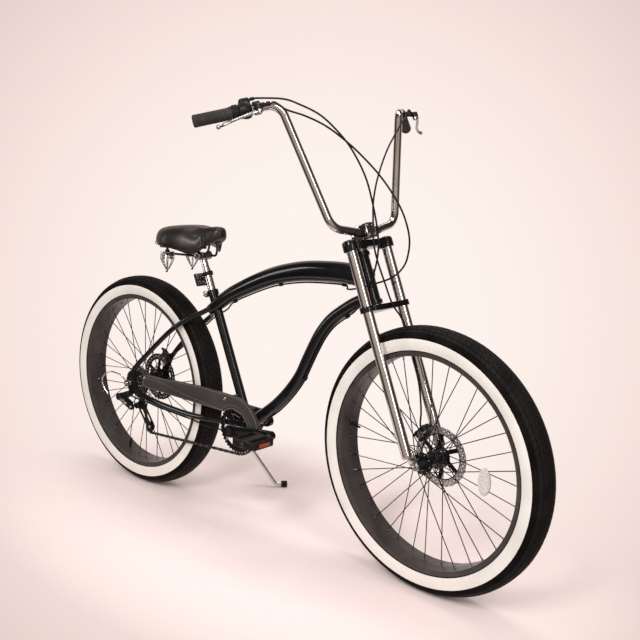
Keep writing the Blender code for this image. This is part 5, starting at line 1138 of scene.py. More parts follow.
def build_grips(look):
    for side, word in SIDES:
        length = GRIP_LENGTHS[side]
        grip = Piece("hand_grip_" + word, STEER @ grip_place(side, 0), "grip_rubber")
        profile = [(0, 0.004), (GRIP_RADIUS - 0.004, 0.004), (GRIP_RADIUS - 0.001, 0.0028),
                   (GRIP_RADIUS, 0.0008), (GRIP_RADIUS, -0.003)]
        z = -0.006
        while z > -length + 0.012:
            profile += [(GRIP_RADIUS, z), (GRIP_RADIUS - 0.0009, z - 0.0005),
                        (GRIP_RADIUS - 0.0009, z - 0.0017), (GRIP_RADIUS, z - 0.0022)]
            z -= 0.0044
        profile += [(GRIP_RADIUS, -length + 0.005), (GRIP_RADIUS + 0.0015, -length + 0.0035),
                    (GRIP_RADIUS + 0.0015, -length + 0.0004), (GRIP_RADIUS + 0.001, -length),
                    (0.0112, -length), (0.0112, 0.0004), (0, 0.0004)]
        grip.add(lathe(profile, 40))
        grip.done("steering", "black_plastic", "grip_" + word, sharp=50)


def build_shifter(look):
    place = grip_place(-1, 0)
    start = -GRIP_LENGTHS[-1] - 0.0006
    piece = Piece("gear_twister", STEER @ place, "black_plastic")
    twist = [(0.0113, 0), (0.017, 0), (0.018, -0.002), (0.0185, -0.0095), (0.017, -0.015),
             (0.0167, -0.0165), (0.0113, -0.0165)]
    piece.add(lathe([(radius, start + z) for radius, z in twist], 48, True))
    piece.add(block((0.002, 0.0016, 0.012), 0.0005, 1), spaced(22, at(0.0178, 0, start - 0.0085)))
    house = [(0.0113, -0.0172), (0.0168, -0.0172), (0.0182, -0.0185), (0.0185, -0.022), (0.0205, -0.029),
             (0.0215, -0.034), (0.0212, -0.039), (0.02, -0.044), (0.0165, -0.0475), (0.0155, -0.048),
             (0.0113, -0.048)]
    piece.add(lathe([(radius, start + z) for radius, z in house], 48, True))
    pod = at(-0.006, 0.016, start - 0.036)
    piece.add(block((0.026, 0.03, 0.028), 0.007, 4), pod)
    piece.add(block((0.002, 0.015, 0.018), 0.0009, 2), pod @ at(-0.0125, 0.002, 0), "clear_lens")
    for k in range(5):
        piece.add(block((0.0008, 0.0018, 0.0008), 0.0002, 1), pod @ at(-0.0137, 0.002, -0.006 + 0.003 * k))
    piece.add(lathe([(0, 0), (0.0042, 0), (0.0042, 0.01), (0.0034, 0.0112), (0, 0.0112)], 20),
              at(0.004, 0.0235, start - 0.05) @ turned_by(180, "X"))
    piece.add(bolt(0.0026, 0.0014), pod @ at(0.002, 0.0148, 0.004) @ turned_by(-90, "X"), "steel")
    piece.done("steering", "black_plastic", "twist_shifter")


def build_levers(look):
    blade_route = ((0.0385, 0.0215, 0.001), (0.041, 0.023, 0.02), (0.038, 0.026, 0.045), (0.033, 0.03, 0.075),
                   (0.034, 0.035, 0.098), (0.04, 0.039, 0.108))
    for side, word in SIDES:
        place = lever_frame(side)
        clamp = Piece("brake_perch_" + word, STEER, "black_plastic")
        clamp.add(ring(0.0114, 0.0165, -0.009, 0.009, 48, 0.0015), grip_place(side, LEVER_DISTANCE))
        arm = [place @ Vector(point) for point in ((0.012, 0.001, 0), (0.025, 0.0045, 0.001),
                                                   (0.037, 0.0095, 0.002))]
        clamp.add(pipe(smooth_path(arm, 12), 0.0072, 16))
        pivot = Vector(LEVER_PIVOT)
        boss = along(place @ (pivot - Vector((0, 0.0135, 0))), place @ pivot)
        clamp.add(rod(0.0085, 0, 0.0135, 32, 0.0012), boss)
        clamp.add(bolt(0.0045, 0.0016), boss @ turned_by(180, "X"), "silver")
        barrel = along(place @ Vector((0.026, 0.004, 0.006)), place @ Vector((0.026, 0.004, -0.03)))
        clamp.add(lathe([(0, 0), (0.005, 0), (0.0058, 0.002), (0.0058, 0.022), (0.0046, 0.0235),
                         (0.0046, 0.025), (0.0055, 0.0262), (0.0055, 0.0345), (0.0048, 0.036), (0, 0.036)],
                        24), barrel)
        clamp.add(bolt(0.0034, 0.0034),
                  along(place @ Vector((-0.014, 0.004, 0)), place @ Vector((-0.02, 0.004, 0))), "steel")
        clamp.done("steering", "black_plastic", "lever_clamp_" + word)

        blade = Piece("brake_handle_" + word, STEER, "silver")
        rows = [place @ Vector(point) for point in smooth_path(blade_route, 30)]
        radii = [0.0046 - 0.0009 * math.sin(math.pi * k / 29) for k in range(29)] + [0.005]
        blade.add(pipe(rows, 0, 16, radii))
        blade.add(ball(0.0056, 16), Matrix.Translation(rows[-1]))
        eye = along(place @ (pivot + Vector((0, GAP, 0))), place @ (pivot + Vector((0, 0.0069, 0))))
        blade.add(rod(0.0085, 0, 0.0066, 32, 0.001), eye)
        blade.add(bolt(0.0048, 0.002, 6), eye @ at(0, 0, 0.0066), "steel")
        blade.done("steering", "silver", "lever_blade_" + word)


# Drive train

# A tooth's outline: share of a pitch, share of the tooth's depth
TOOTH = ((-0.42, 0), (-0.3, 0.25), (-0.12, 1), (0.08, 1), (0.3, 0.25), (0.42, 0))


def pitch_radius(teeth):
    return CHAIN_PITCH / (2 * math.sin(math.pi / teeth))


def toothed(teeth, tip, depth):
    """Outline of a sprocket, its teeth of the given depth below the tip's radius."""
    return [polar(tip - depth * (1 - rise), 2 * math.pi * (tooth + turn) / teeth) for tooth in range(teeth)
            for turn, rise in TOOTH]


def belt(circles):
    """Closed route round circles of (x, z, radius, turn) in steps of about a millimetre."""
    spans = []
    for one, two in zip(circles, circles[1:] + circles[:1]):
        start, end = Vector(one[:2]), Vector(two[:2])
        gap = end - start
        heading = math.atan2(gap.y, gap.x)
        angle = heading + math.acos((one[2] * one[3] - two[2] * two[3]) / gap.length)
        across = Vector((math.cos(angle), math.sin(angle)))
        spans.append((start + one[2] * one[3] * across, end + two[2] * two[3] * across))
    points = []
    for index, (x, z, radius, turn) in enumerate(circles):
        arrive = spans[index - 1][1] - Vector((x, z))
        leave = spans[index][0] - Vector((x, z))
        first = math.atan2(arrive.y, arrive.x)
        sweep = (math.atan2(leave.y, leave.x) - first) % (2 * math.pi)
        if turn > 0:
            sweep -= 2 * math.pi
        points += arc(x, z, radius, math.degrees(first), math.degrees(first + sweep), 40)
    return points


def build_chain(look):
    cog = pitch_radius(COG_TEETH[DRIVEN_COG])
    route = belt([(0, WHEEL_RADIUS, cog, 1), (BB.x, BB.z, pitch_radius(RING_TEETH), 1),
                  (*TENSION_PULLEY, PULLEY_RADIUS, 1), (*GUIDE_PULLEY, PULLEY_RADIUS, -1)])
    route.append(route[0])
    lengths = [0.0]
    for one, two in zip(route, route[1:]):
        lengths.append(lengths[-1] + math.dist(one, two))
    links = 2 * round(lengths[-1] / CHAIN_PITCH / 2)
    pins = []
    index = 0
    for k in range(links):
        target = lengths[-1] * k / links
        while lengths[index + 1] < target:
            index += 1
        share = (target - lengths[index]) / (lengths[index + 1] - lengths[index])
        pins.append(Vector(route[index]).lerp(Vector(route[index + 1]), share))
    plain, outer = [], []
    for k in range(links):
        one, two = pins[k], pins[(k + 1) % links]
        middle = (one + two) / 2
        turn = math.atan2(two.y - one.y, two.x - one.x)
        place = upright(middle.x, -CHAIN_LINE, middle.y) @ Matrix.Rotation(turn, 4, "Z")
        (outer if k % 2 else plain).append(place)
    half = CHAIN_PITCH / 2
    waist = [(0, 0.003), (0, -0.003)]
    shape = (arc(half, 0, 0.004, -110, 110, 6) + waist[:1] + arc(-half, 0, 0.004, 70, 290, 6) + waist[1:])
    piece = Piece("chain_links", BIKE, "steel")
    for sign in (1, -1):
        piece.add(slab([shape], 0.0008), [place @ at(0, 0, sign * 0.00295) for place in outer], "dark_steel")
        piece.add(slab([shape], 0.0007), [place @ at(0, 0, sign * 0.0021) for place in plain])
    pin = [upright(point.x, -CHAIN_LINE, point.y) for point in pins]
    piece.add(rod(0.0018, -0.0034, 0.0034, 8, 0.0003), pin)
    piece.done("frame", "steel", "chain", sharp=30)


def build_cassette(look):
    piece = Piece("sprocket_stack", REAR_HUB @ AXLE, "dark_steel")
    outer = -0.0615
    for index, teeth in enumerate(COG_TEETH):
        tip = pitch_radius(teeth) - 0.0024
        holes = [circle(0, 0, FREEHUB_RADIUS + GAP, 32)]
        if teeth > 18:
            middle = (tip + FREEHUB_RADIUS) / 2
            for k in range(6):
                spot = polar(middle, 2 * math.pi * (k + 0.5 * index) / 6)
                holes.append(circle(*spot, (tip - 0.024) * 0.22, 14))
        height = outer + COG_PITCH * index + 0.0009
        piece.add(slab([toothed(teeth, tip, 0.0042)] + holes, 0.0018, 0.0003, 1), at(0, 0, height), "steel")
        if index:
            piece.add(ring(FREEHUB_RADIUS + GAP, 0.0205, height - COG_PITCH + 0.0009, height - 0.0009, 32))
    piece.add(ring(0.01, 0.019, outer - 0.0022, outer + 0.0002, 40, 0.0006))
    piece.done("rear_wheel", "steel", "cassette", sharp=30)


def build_cranks(look):
    ring_piece = Piece("toothed_ring", CRANK @ upright(0, -CHAIN_LINE, 0))
    pitch = pitch_radius(RING_TEETH)
    holes = [circle(0, 0, 0.0088, 32)]
    for window in range(5):
        middle = 72 * window + 17
        holes.append(arc(0, 0, 0.057, middle - 24, middle + 24, 16)
                     + arc(0, 0, 0.027, middle + 17, middle - 17, 8))
    ring_piece.add(slab([toothed(RING_TEETH, pitch - 0.0022, 0.0046)] + holes, 0.0028, 0.0004, 1))
    ring_piece.add(ring(0.061, 0.064, -0.0022, 0.0022, 96, 0.0006))
    ring_piece.done("crank", "black_paint", "chainring", sharp=30)

    axle = Piece("crank_spindle", CRANK @ AXLE)
    end = CRANK_INNER + CRANK_THICKNESS
    axle.add(rod(0.0085, -end, end, 32), finish="steel")
    axle.add(lathe([(0.0084, -0.0518), (0.015, -0.0518), (0.0165, -0.0535), (0.0165, -0.07), (0.015, -0.0722),
                    (0.0084, -0.0722)], 40, True))
    axle.done("crank", "steel", "spindle")

    for side, word in SIDES:
        arm = Piece("crank_lever_" + word, CRANK if side < 0 else CRANK @ turned_by(180, "Y"),
                    "black_plastic")
        middle = side * (CRANK_INNER + CRANK_THICKNESS / 2)
        face = at(0, middle, 0) @ turned_by(-90 * side, "X")
        arm.add(slab([strap((0, 0), 0.0185, (CRANK_LENGTH, 0), 0.0125, 20), circle(0, 0, 0.0087, 28)],
                     CRANK_THICKNESS, 0.003, 3), face, "black_paint")
        groove = strap((0.034, 0), 0.0052, (CRANK_LENGTH - 0.026, 0), 0.0036, 10)
        arm.add(slab([groove], 0.0016, 0.0006, 2), face @ at(0, 0, CRANK_THICKNESS / 2 - 0.0002))
        arm.add(lathe([(0, 0.0012), (0.01, 0.0012), (0.0112, 0.0004), (0.0112, -0.002), (0, -0.002)], 32),
                face @ at(0, 0, CRANK_THICKNESS / 2))
        start = Vector((CRANK_LENGTH, side * (CRANK_INNER + 0.004), 0))
        reach = Vector((CRANK_LENGTH, side * (PEDAL_INNER + PEDAL_WIDTH - 0.006), 0))
        arm.add(rod(0.0045, 0, (reach - start).length, 20), along(start, reach), "steel")
        outside = Vector((CRANK_LENGTH, side * (CRANK_INNER + CRANK_THICKNESS), 0))
        arm.add(bolt(0.0075, 0.0045, 8), along(outside, reach), "steel")
        arm.done("crank", "black_paint", "crank_arm_" + word)


def build_pedals(look):
    half_x, half_y, trim = PEDAL_LENGTH / 2, PEDAL_WIDTH / 2, 0.01
    for side, word in SIDES:
        centre = at(0, side * (PEDAL_INNER + half_y), 0)
        pedal = Piece("platform_pedal_" + word, PEDALS[side] @ centre, "black_plastic")
        outline = [(half_x, half_y - trim), (half_x - trim, half_y), (-half_x + trim, half_y),
                   (-half_x, half_y - trim), (-half_x, -half_y + trim), (-half_x + trim, -half_y),
                   (half_x - trim, -half_y), (half_x, -half_y + trim)]
        window = [(0.0165, -0.0335), (half_x - 0.009, -0.0335), (half_x - 0.009, 0.0335), (0.0165, 0.0335)]
        holes = [window, [(-x, y) for x, y in window]]
        pedal.add(slab([outline] + holes, PEDAL_HEIGHT - 0.003, 0.0022, 2))
        teeth = [(sign * x, y) for sign in (1, -1) for x in (0.0395, 0.013)
                 for y in (-0.03, -0.02, -0.01, 0.0, 0.01, 0.02, 0.03)]
        for face in (1, -1):
            studs = [at(x, y, face * (PEDAL_HEIGHT / 2 - 0.0016)) for x, y in teeth]
            pedal.add(block((0.005, 0.0046, 0.0031), 0.0006, 1), studs)
        pedal.add(rod(0.0098, -half_y + 0.001, half_y - 0.001, 32, 0.001), AXLE)
        for sign in (1, -1):
            pedal.add(block((0.0058, 0.058, 0.015), 0.0016), at(sign * (half_x - 0.002), 0, 0))
            pedal.add(block((0.004, 0.04, 0.01), 0.0009), at(sign * (half_x + 0.0004), 0, 0), "orange_lens")
        pedal.add(lathe([(0, 0.0022), (0.007, 0.0022), (0.0082, 0.001), (0.0086, -0.002), (0, -0.002)], 28),
                  at(0, side * half_y, 0) @ turned_by(-90 * side, "X"), "dark_steel")
        pedal.done("pedal_" + word, "black_plastic", "pedal_" + word)


def build_derailleur(look):
    hanger = -(REAR_INNER + REAR_PLATE + GAP)
    pivot = (0.0065, 0.3155)
    knuckle = (-0.03, 0.301)
    piece = Piece("gear_changer", BIKE, "silver")
    link = strap((-0.022, 0.3005), 0.0035, (0.026, 0.2835), 0.0035, 8)
    cover = strap((-0.026, 0.3085), 0.0052, (0.028, 0.2885), 0.0055, 10)
    for outline, thickness, soft, segments, inward, finish in (
            (strap(pivot, 0.0105, knuckle, 0.01, 16), 0.012, 0.0025, 3, 0.006, "black_plastic"),
            (strap(knuckle, 0.0085, GUIDE_PULLEY, 0.0105, 16), 0.008, 0.0022, 3, 0.0165, "black_plastic"),
            (link, 0.0016, 0.0005, 1, 0.0208, "dark_steel"),
            (cover, 0.006, 0.0018, 2, 0.0105, "black_plastic")):
        piece.add(slab([outline], thickness, soft, segments), upright(0, hanger - inward, 0), finish)
    for spot, y in ((pivot, hanger - 0.012), (knuckle, hanger - 0.0205), (GUIDE_PULLEY, hanger - 0.0205)):
        piece.add(bolt(0.0052, 0.0026), upright(spot[0], y, spot[1]))
    piece.add(rod(0.01, 0, 0.0135, 28, 0.0012), upright(GUIDE_PULLEY[0], -0.0585, GUIDE_PULLEY[1]),
              "black_plastic")
    for y, size in ((-0.0562, 0.0125), (-0.0438, 0.0115)):
        holes = [strap((0.044, 0.2655), 0.0042, (0.074, 0.228), 0.0042, 8)]
        piece.add(slab([strap(GUIDE_PULLEY, size, TENSION_PULLEY, size, 16)] + holes, 0.0018, 0.0005, 1),
                  upright(0, y, 0), "black_plastic")
    for x, z in (GUIDE_PULLEY, TENSION_PULLEY):
        wheel = [circle(0, 0, 0.0032, 12)]
        piece.add(slab([toothed(11, PULLEY_RADIUS - 0.0026, 0.0036)] + wheel, 0.0022, 0.0003, 1),
                  upright(x, -CHAIN_LINE, z), "black_plastic")
        piece.add(rod(0.004, -0.0565, -0.0432, 20), at(x, 0, z) @ AXLE, "steel")
        piece.add(bolt(0.0044, 0.0018), upright(x, -0.057, z))
    for (x, z), radius, low, high, soft in ((knuckle, 0.0118, 0.024, 0.002, 0.002),
                                            (pivot, 0.0105, 0.0165, 0.0005, 0.0018)):
        piece.add(rod(radius, hanger - low, hanger - high, 32, soft), at(x, 0, z) @ AXLE, "black_plastic")
    spring = [(-0.02 + 0.038 * k / 90, hanger - 0.0215 + 0.0032 * math.sin(0.9 * k),
               0.2985 - 0.0125 * k / 90 + 0.0032 * math.cos(0.9 * k)) for k in range(91)]
    piece.add(pipe(spring, 0.0007, 6))
    for x, z in ((-0.038, 0.2925), (-0.0325, 0.2905)):
        piece.add(bolt(0.0019, 0.0035), at(x, hanger - 0.015, z) @ turned_by(150, "X"))
    barrel = along(Vector((0.012, -0.0798, 0.3135)), Vector((0.0185, -0.0798, 0.312)))
    piece.add(rod(0.0036, -0.002, 0.0048, 16), barrel)
    piece.done("frame", "black_plastic", "derailleur")

    y = -0.0846
    hoop = Piece("changer_guard_wire", BIKE, "chrome")
    hoop.add(ring(0.0053, 0.01, -0.0015, 0.0015, 32, 0.0004), at(0, y, WHEEL_RADIUS) @ AXLE)
    points = [(-0.004, y, WHEEL_RADIUS + 0.008), (-0.022, y - 0.008, 0.378), (-0.062, y - 0.02, 0.383),
              (-0.094, y - 0.025, 0.361), (-0.094, y - 0.025, 0.333), (-0.072, y - 0.021, 0.305)]
    wire = smooth_path(points, 48)
    hoop.add(pipe(wire, 0.0022, 14))
    hoop.add(ball(0.0022, 14), Matrix.Translation(wire[-1]))
    hoop.done("frame", "chrome", "derailleur_guard")


def build_chainguard(look):
    outer, inner, face = 0.104, 0.063, -0.0672
    piece = Piece("chain_cover", BIKE, "guard_plastic")
    top = [(0.36, 0.404), (0.2, 0.397), (0.08, 0.392), (0.067, 0.387)]
    lower = [(0.066, 0.358), (0.07, 0.351), (0.08, 0.3484), (0.178, 0.3478), (0.275, 0.3474), (0.35, 0.347)]
    outline = arc(BB.x, BB.z, outer, -12, 84, 40) + top + lower + arc(BB.x, BB.z, inner, 128.9, -12, 60)
    piece.add(slab([outline], 0.002, 0.0006, 2), upright(0, face + 0.001, 0))
    # The rim and groove beads are painted lighter than the cover: painted highlight lines along its lip and
    # groove
    rim = arc(BB.x, BB.z, outer - 0.0022, -11, 84, 48)
    rim += [(0.36, 0.4015), (0.2, 0.3945), (0.083, 0.3897), (0.0695, 0.386), (0.0682, 0.374), (0.0682, 0.359),
            (0.072, 0.3528), (0.08, 0.3506), (0.178, 0.35), (0.275, 0.3496), (0.352, 0.3492)]
    rim += arc(BB.x, BB.z, inner + 0.0022, 128.9, -11, 72)
    piece.add(pipe([(x, face - 0.0002, z) for x, z in rim], 0.0017, 10), finish="guard_edge")
    groove = [(0.074, 0.38), (0.13, 0.3815), (0.175, 0.379), (0.225, 0.37), (0.29, 0.361), (0.35, 0.358)]
    groove = [(x, face - 0.0002, z) for x, z in groove + arc(BB.x, BB.z, 0.0755, 136, -6, 40)]
    piece.add(pipe(smooth_path(groove, 90), 0.001, 8), finish="guard_edge")
    rail = arc(BB.x, BB.z, outer - 0.0005, -11, 84, 40) + [(0.36, 0.4035), (0.2, 0.3965)]
    inside = arc(BB.x, BB.z, outer - 0.0025, -11, 84, 40) + [(0.36, 0.4015), (0.2, 0.3945)]
    piece.add(slab([rail + inside[::-1]], 0.01, 0.0004, 1), upright(0, face + 0.0055, 0))
    piece.add(slab([strap((0.0745, 0.3812), 0.005, (0.043, 0.4165), 0.0052, 10)], 0.0014, 0.0004, 1),
              upright(0, face + 0.0011, 0))
    perch = seat_point(0.098)
    piece.add(rod(0.0045, face + 0.001, -0.0146, 16), at(perch.x, 0, perch.z) @ AXLE)
    for x, z, size in ((0.0745, 0.3812, 0.0052), (perch.x, perch.z, 0.005)):
        piece.add(bolt(size, 0.0028), upright(x, face - 0.0001, z), "silver")
    piece.done("frame", "grey_guard", "chainguard")


# Brakes, stand and cables

def build_calipers(look):
    front_place = STEER @ at(FORK_OFFSET, 0, 0) @ turned_by(90 - HEAD_ANGLE_DEG, "Y")
    for word, hub, angle, rotor_y, outward, body in (
            ("front", front_place, 139, FRONT_ROTOR_Y, 0.016, "steering"),
            ("rear", REAR_HUB, 62, REAR_ROTOR_Y, 0.01, "frame")):
        place = hub @ turned_by(-angle, "Y") @ at(0.077, 0, 0)
        piece = Piece(word + "_brake_body", place, "black_plastic")
        low, high = rotor_y - 0.012, rotor_y + outward
        for one, two in ((low, rotor_y - 0.0026), (rotor_y + 0.0026, high)):
            piece.add(block((0.03, two - one, 0.042), 0.0038, 3), at(0, (one + two) / 2, 0))
        piece.add(block((0.0085, high - low, 0.04), 0.0025, 2), at(0.01075, (low + high) / 2, 0))
        for z in (0.0145, -0.0145):
            piece.add(bolt(0.0038, 0.0026), upright(-0.004, low, z), "silver")
        piece.add(rod(0.0095, 0, 0.003, 32, 0.0008), at(0, low - 0.0022, 0) @ AXLE, "silver")
        piece.add(bolt(0.005, 0.0016), upright(0, low - 0.0022, 0), "steel")
        for side in (1, -1):
            piece.add(block((0.013, 0.0014, 0.02), 0.0004, 1), at(-0.004, rotor_y + side * 0.0021, 0),
                      "steel")
        arm = upright(0, high + 0.0022, 0)
        piece.add(slab([strap((-0.002, -0.004), 0.0105, (0.012, 0.03), 0.0055, 12)], 0.0042, 0.0012, 2), arm)
        piece.add(rod(0.0085, -0.0024, 0.0032, 28, 0.001), at(-0.002, high + 0.0035, -0.004) @ AXLE)
        piece.add(bolt(0.0046, 0.0028, 6), at(-0.002, high + 0.0065, -0.004) @ AXLE, "steel")
        piece.add(bolt(0.0036, 0.0026, 6), at(0.012, high + 0.0042, 0.03) @ AXLE, "silver")
        piece.add(block((0.012, 0.013, 0.01), 0.0022, 2), at(0.014, (low + high) / 2 + 0.004, 0.022))
        piece.add(lathe([(0, 0), (0.004, 0), (0.0048, 0.0012), (0.0048, 0.0072), (0.0036, 0.0086),
                         (0.0036, 0.0125), (0, 0.0125)], 20), at(0.0155, (low + high) / 2 + 0.004, 0.0265))
        piece.done(body, "black_plastic", word + "_caliper")


def stand_points():
    """Pivot, knee, ankle and end of the stand's leg, on the upright bicycle."""
    ground = STAND_REACH * math.tan(math.radians(LEAN_DEG)) + SHOE_RADIUS
    ankle = Vector((*STAND_ANKLE, ground))
    return Vector(STAND_PIVOT), Vector(STAND_KNEE), ankle, ankle + Vector((0.012, 0.014, 0))


def build_stand(look):
    pivot, knee, ankle, end = stand_points()
    direction = (ankle - pivot).normalized()
    axis = direction.cross(Vector(STAND_FOLDED).normalized()).normalized()
    leg = Piece("side_stand_leg", BIKE, "chrome")
    start = pivot + (knee - pivot).normalized() * 0.004
    leg.add(pipe(rounded_path([start, knee, ankle, end], [0.08, 0.01], 16), 0.0065, 24))
    head = along(pivot - axis * 0.008, pivot + axis * 0.008)
    leg.add(rod(0.013, 0, 0.016, 40, 0.0012), head)
    leg.add(bolt(0.0075, 0.0036), head @ at(0, 0, 0.016), "steel")
    leg.done("kickstand", "chrome", "stand_leg")

    run = (end - ankle).normalized()
    shoe = Piece("side_stand_shoe", BIKE @ along(end + run * GAP, end + run), "black_plastic")
    rows = [(0, 0.0203), (0.0085, 0.0203), (0.0105, 0.0185), (0.0105, 0.015), (0.0098, 0.0144),
            (0.0105, 0.0138), (0.0105, 0.01), (0.0098, 0.0094), (0.0105, 0.0088), (0.0105, 0.0045),
            (0.0088, 0.0003), (0, 0.0003)]
    shoe.add(lathe(rows, 40))
    shoe.done("kickstand", "black_plastic", "stand_foot")

    stay = CHAIN_STAY_ROUTE[4]
    top = stay[2] - CHAIN_STAY_RADIUS - 2 * GAP
    bracket = Piece("stand_mount", BIKE)
    bracket.add(block((0.04, 0.022, 0.01), 0.002, 3), at(pivot.x, stay[1], top - 0.005))
    face = pivot - axis * (0.008 + GAP)
    heel = face - axis * 0.02
    bracket.add(rod(0.011, 0, 0.02, 40, 0.0012), along(heel, face))
    bracket.add(rod(0.007, 0, top - 0.004 - heel.z, 32), Matrix.Translation(heel))
    for x in (0.013, -0.013):
        bracket.add(bolt(0.0045, 0.0035, 6), at(pivot.x + x, stay[1], top - 0.01) @ turned_by(180, "X"),
                    "silver")
    bracket.done("frame", "black_paint", "stand_bracket")


# Routes of the cables between their ends, on the upright bicycle and for the front brake on the steering
SHIFT_ARC = ((0.79, -0.277, 1.244), (0.842, -0.25, 1.243), (0.881, -0.235, 1.231), (0.921, -0.2, 1.206),
             (0.956, -0.165, 1.162), (0.978, -0.14, 1.12), (0.994, -0.11, 1.061), (0.999, -0.085, 0.998),
             (1.001, -0.065, 0.935), (0.997, -0.052, 0.885), (0.982, -0.043, 0.83), (0.955, -0.036, 0.775),
             (0.918, -0.03, 0.718))
SHIFT_TAIL = ((0.54, -0.008, 0.286), (0.508, -0.016, 0.2695), (0.475, -0.022, 0.268), (0.44, -0.031, 0.272),
              (0.4, -0.046, 0.2775), (0.36, -0.0575, 0.2795), (0.31, -0.06, 0.287), (0.25, -0.0605, 0.289),
              (0.14, -0.0645, 0.295), (0.08, -0.071, 0.3045), (0.045, -0.0775, 0.3075),
              (0.0172, -0.0798, 0.312))
REAR_BRAKE_ARC = ((0.853, -0.25, 1.218), (0.886, -0.215, 1.204), (0.921, -0.18, 1.182),
                  (0.956, -0.145, 1.148), (0.983, -0.115, 1.114), (1.011, -0.08, 1.07), (1.037, -0.05, 1.019),
                  (1.056, -0.03, 0.97), (1.065, -0.015, 0.913), (1.057, -0.01, 0.862), (1.04, -0.01, 0.832),
                  (1.014, -0.012, 0.81), (0.986, -0.022, 0.796), (0.96, -0.032, 0.787), (0.93, -0.036, 0.776),
                  (0.9, -0.033, 0.768), (0.876, -0.022, 0.7655))
REAR_BRAKE_TAIL = ((0.386, 0.01, 0.644), (0.352, 0.0205, 0.627), (0.318, 0.031, 0.611), (0.279, 0.046, 0.594),
                   (0.242, 0.0565, 0.5712), (0.197, 0.059, 0.54), (0.147, 0.059, 0.5), (0.112, 0.0575, 0.469),
                   (0.08, 0.054, 0.448), (0.045, 0.05, 0.4355))
FRONT_BRAKE_ROUTE = ((0.092, 0.233, 0.923), (0.09, 0.1845, 0.883), (0.087, 0.1245, 0.831),
                     (0.0843, 0.0745, 0.777), (0.0852, 0.0344, 0.7289), (0.0851, 0.0044, 0.6821),
                     (0.0872, -0.0155, 0.6407), (0.0769, -0.0261, 0.5804), (0.0679, -0.0215, 0.5375),
                     (0.056, -0.0024, 0.4748), (0.0577, 0.003, 0.4139), (0.05, 0.03, 0.381),
                     (0.044, 0.047, 0.35), (0.04, 0.0512, 0.3), (0.034, 0.0512, 0.2), (0.018, 0.051, 0.13),
                     (0.005, 0.05, 0.098), (0.0012, 0.0495, 0.0836))
# Places of the cable guides along the top tube and the down tube, in hundredths
CLIP_SHARES = ((12, 50, 82), (16, 56))


def beneath(rows):
    """Points along the underside of a swept tube given as (x, z, radius) rows from the head."""
    reach = CABLE_RADIUS + 3 * GAP
    points = []
    for before, row, after in zip(rows[:1] + rows, rows, rows[1:] + rows[-1:]):
        run = Vector((after[0] - before[0], after[1] - before[1])).normalized()
        points.append((row[0] - run.y * (row[2] + reach), 0, row[1] + run.x * (row[2] + reach)))
    return points


def build_clips(look):
    """Guides that hold the cables under the top tube and the down tube."""
    piece = Piece("cable_clips", BIKE, "black_plastic")
    down = [(x, z, DOWN_TUBE_RADIUS) for x, z in DOWN_TUBE_ROUTE]
    for rows, places in ((smooth_path(TOP_TUBE_ROUTE, 101), CLIP_SHARES[0]),
                         (smooth_path(down, 101), CLIP_SHARES[1])):
        under = beneath(rows)
        for index in places:
            run = Vector(under[index + 1]) - Vector(under[index - 1])
            spot = along(Vector(under[index]), Vector(under[index]) + run)
            piece.add(ring(CABLE_RADIUS + 0.00015, 0.0046, -0.006, 0.006, 24, 0.0006), spot)
            inward = (Vector((rows[index][0], 0, rows[index][1])) - Vector(under[index])).normalized()
            foot = along(Vector(under[index]) + inward * 0.003, Vector(under[index]) + inward)
            piece.add(rod(0.0036, 0, 0.004, 16, 0.0003), foot)
    piece.done("frame", "black_plastic")


def lever_outlet(side):
    return [lever_frame(side) @ Vector((0.026, 0.004, -distance)) for distance in (0.0306, 0.042)]


def build_cables(look):
    steer = BIKE.inverted() @ STEER
    pod = [grip_place(-1, 0) @ Vector((0.004, 0.0235, -GRIP_LENGTHS[-1] - distance))
           for distance in (0.0512, 0.0612)]
    shift = [*[steer @ point for point in pod], *SHIFT_ARC,
             *beneath([(x, z, DOWN_TUBE_RADIUS) for x, z in DOWN_TUBE_ROUTE])[2:-1], *SHIFT_TAIL]
    brake = [*[steer @ point for point in lever_outlet(-1)], *REAR_BRAKE_ARC,
             *beneath(list(TOP_TUBE_ROUTE))[1:8], *REAR_BRAKE_TAIL]
    front = [*lever_outlet(1), *FRONT_BRAKE_ROUTE]
    for name, node, route, place, count, bent in (
            ("shift_line", "shift_cable", shift, BIKE, 260, SHIFT_ARC),
            ("rear_brake_line", "rear_brake_cable", brake, BIKE, 260, REAR_BRAKE_ARC),
            ("front_brake_line", "front_brake_cable", front, STEER, 150, None)):
        piece = Piece(name, place, "cable_sheath")
        path = [Vector(point) for point in smooth_path(route, count)]
        piece.add(pipe(path, CABLE_RADIUS, 12))
        item = piece.done(None if bent else "steering", "cable_black", node)
        if bent:
            tuple(place @ path[0])
            tuple(place @ Vector(bent[-1]))
            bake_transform(item)


# Stage

def camera_place():
    """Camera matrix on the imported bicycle, and its focal length."""
    azimuth, elevation = math.radians(CAMERA_AZIMUTH_DEG), math.radians(CAMERA_ELEVATION_DEG)
    back = Vector((math.sin(azimuth) * math.cos(elevation), -math.cos(azimuth) * math.cos(elevation),
                   math.sin(elevation)))
    right = Vector((math.cos(azimuth), math.sin(azimuth), 0))
    up = back.cross(right)
    turn = Matrix((right, up, back)).transposed().to_4x4() @ turned_by(CAMERA_ROLL_DEG, "Z")
    target = Vector(CAMERA_TARGET) + BIKE.translation
    return Matrix.Translation(target + back * CAMERA_DISTANCE) @ turn


def build_camera():
    data = bpy.data.cameras.new("view_camera")
    data.sensor_width = SENSOR_MM
    data.lens = CAMERA_FOCAL_PIXELS / VIEW_PIXELS * SENSOR_MM
    camera = bpy.data.objects.new("view_camera", data)
    camera.matrix_world = camera_place()
    bpy.context.scene.collection.objects.link(camera)
    bpy.context.scene.camera = camera


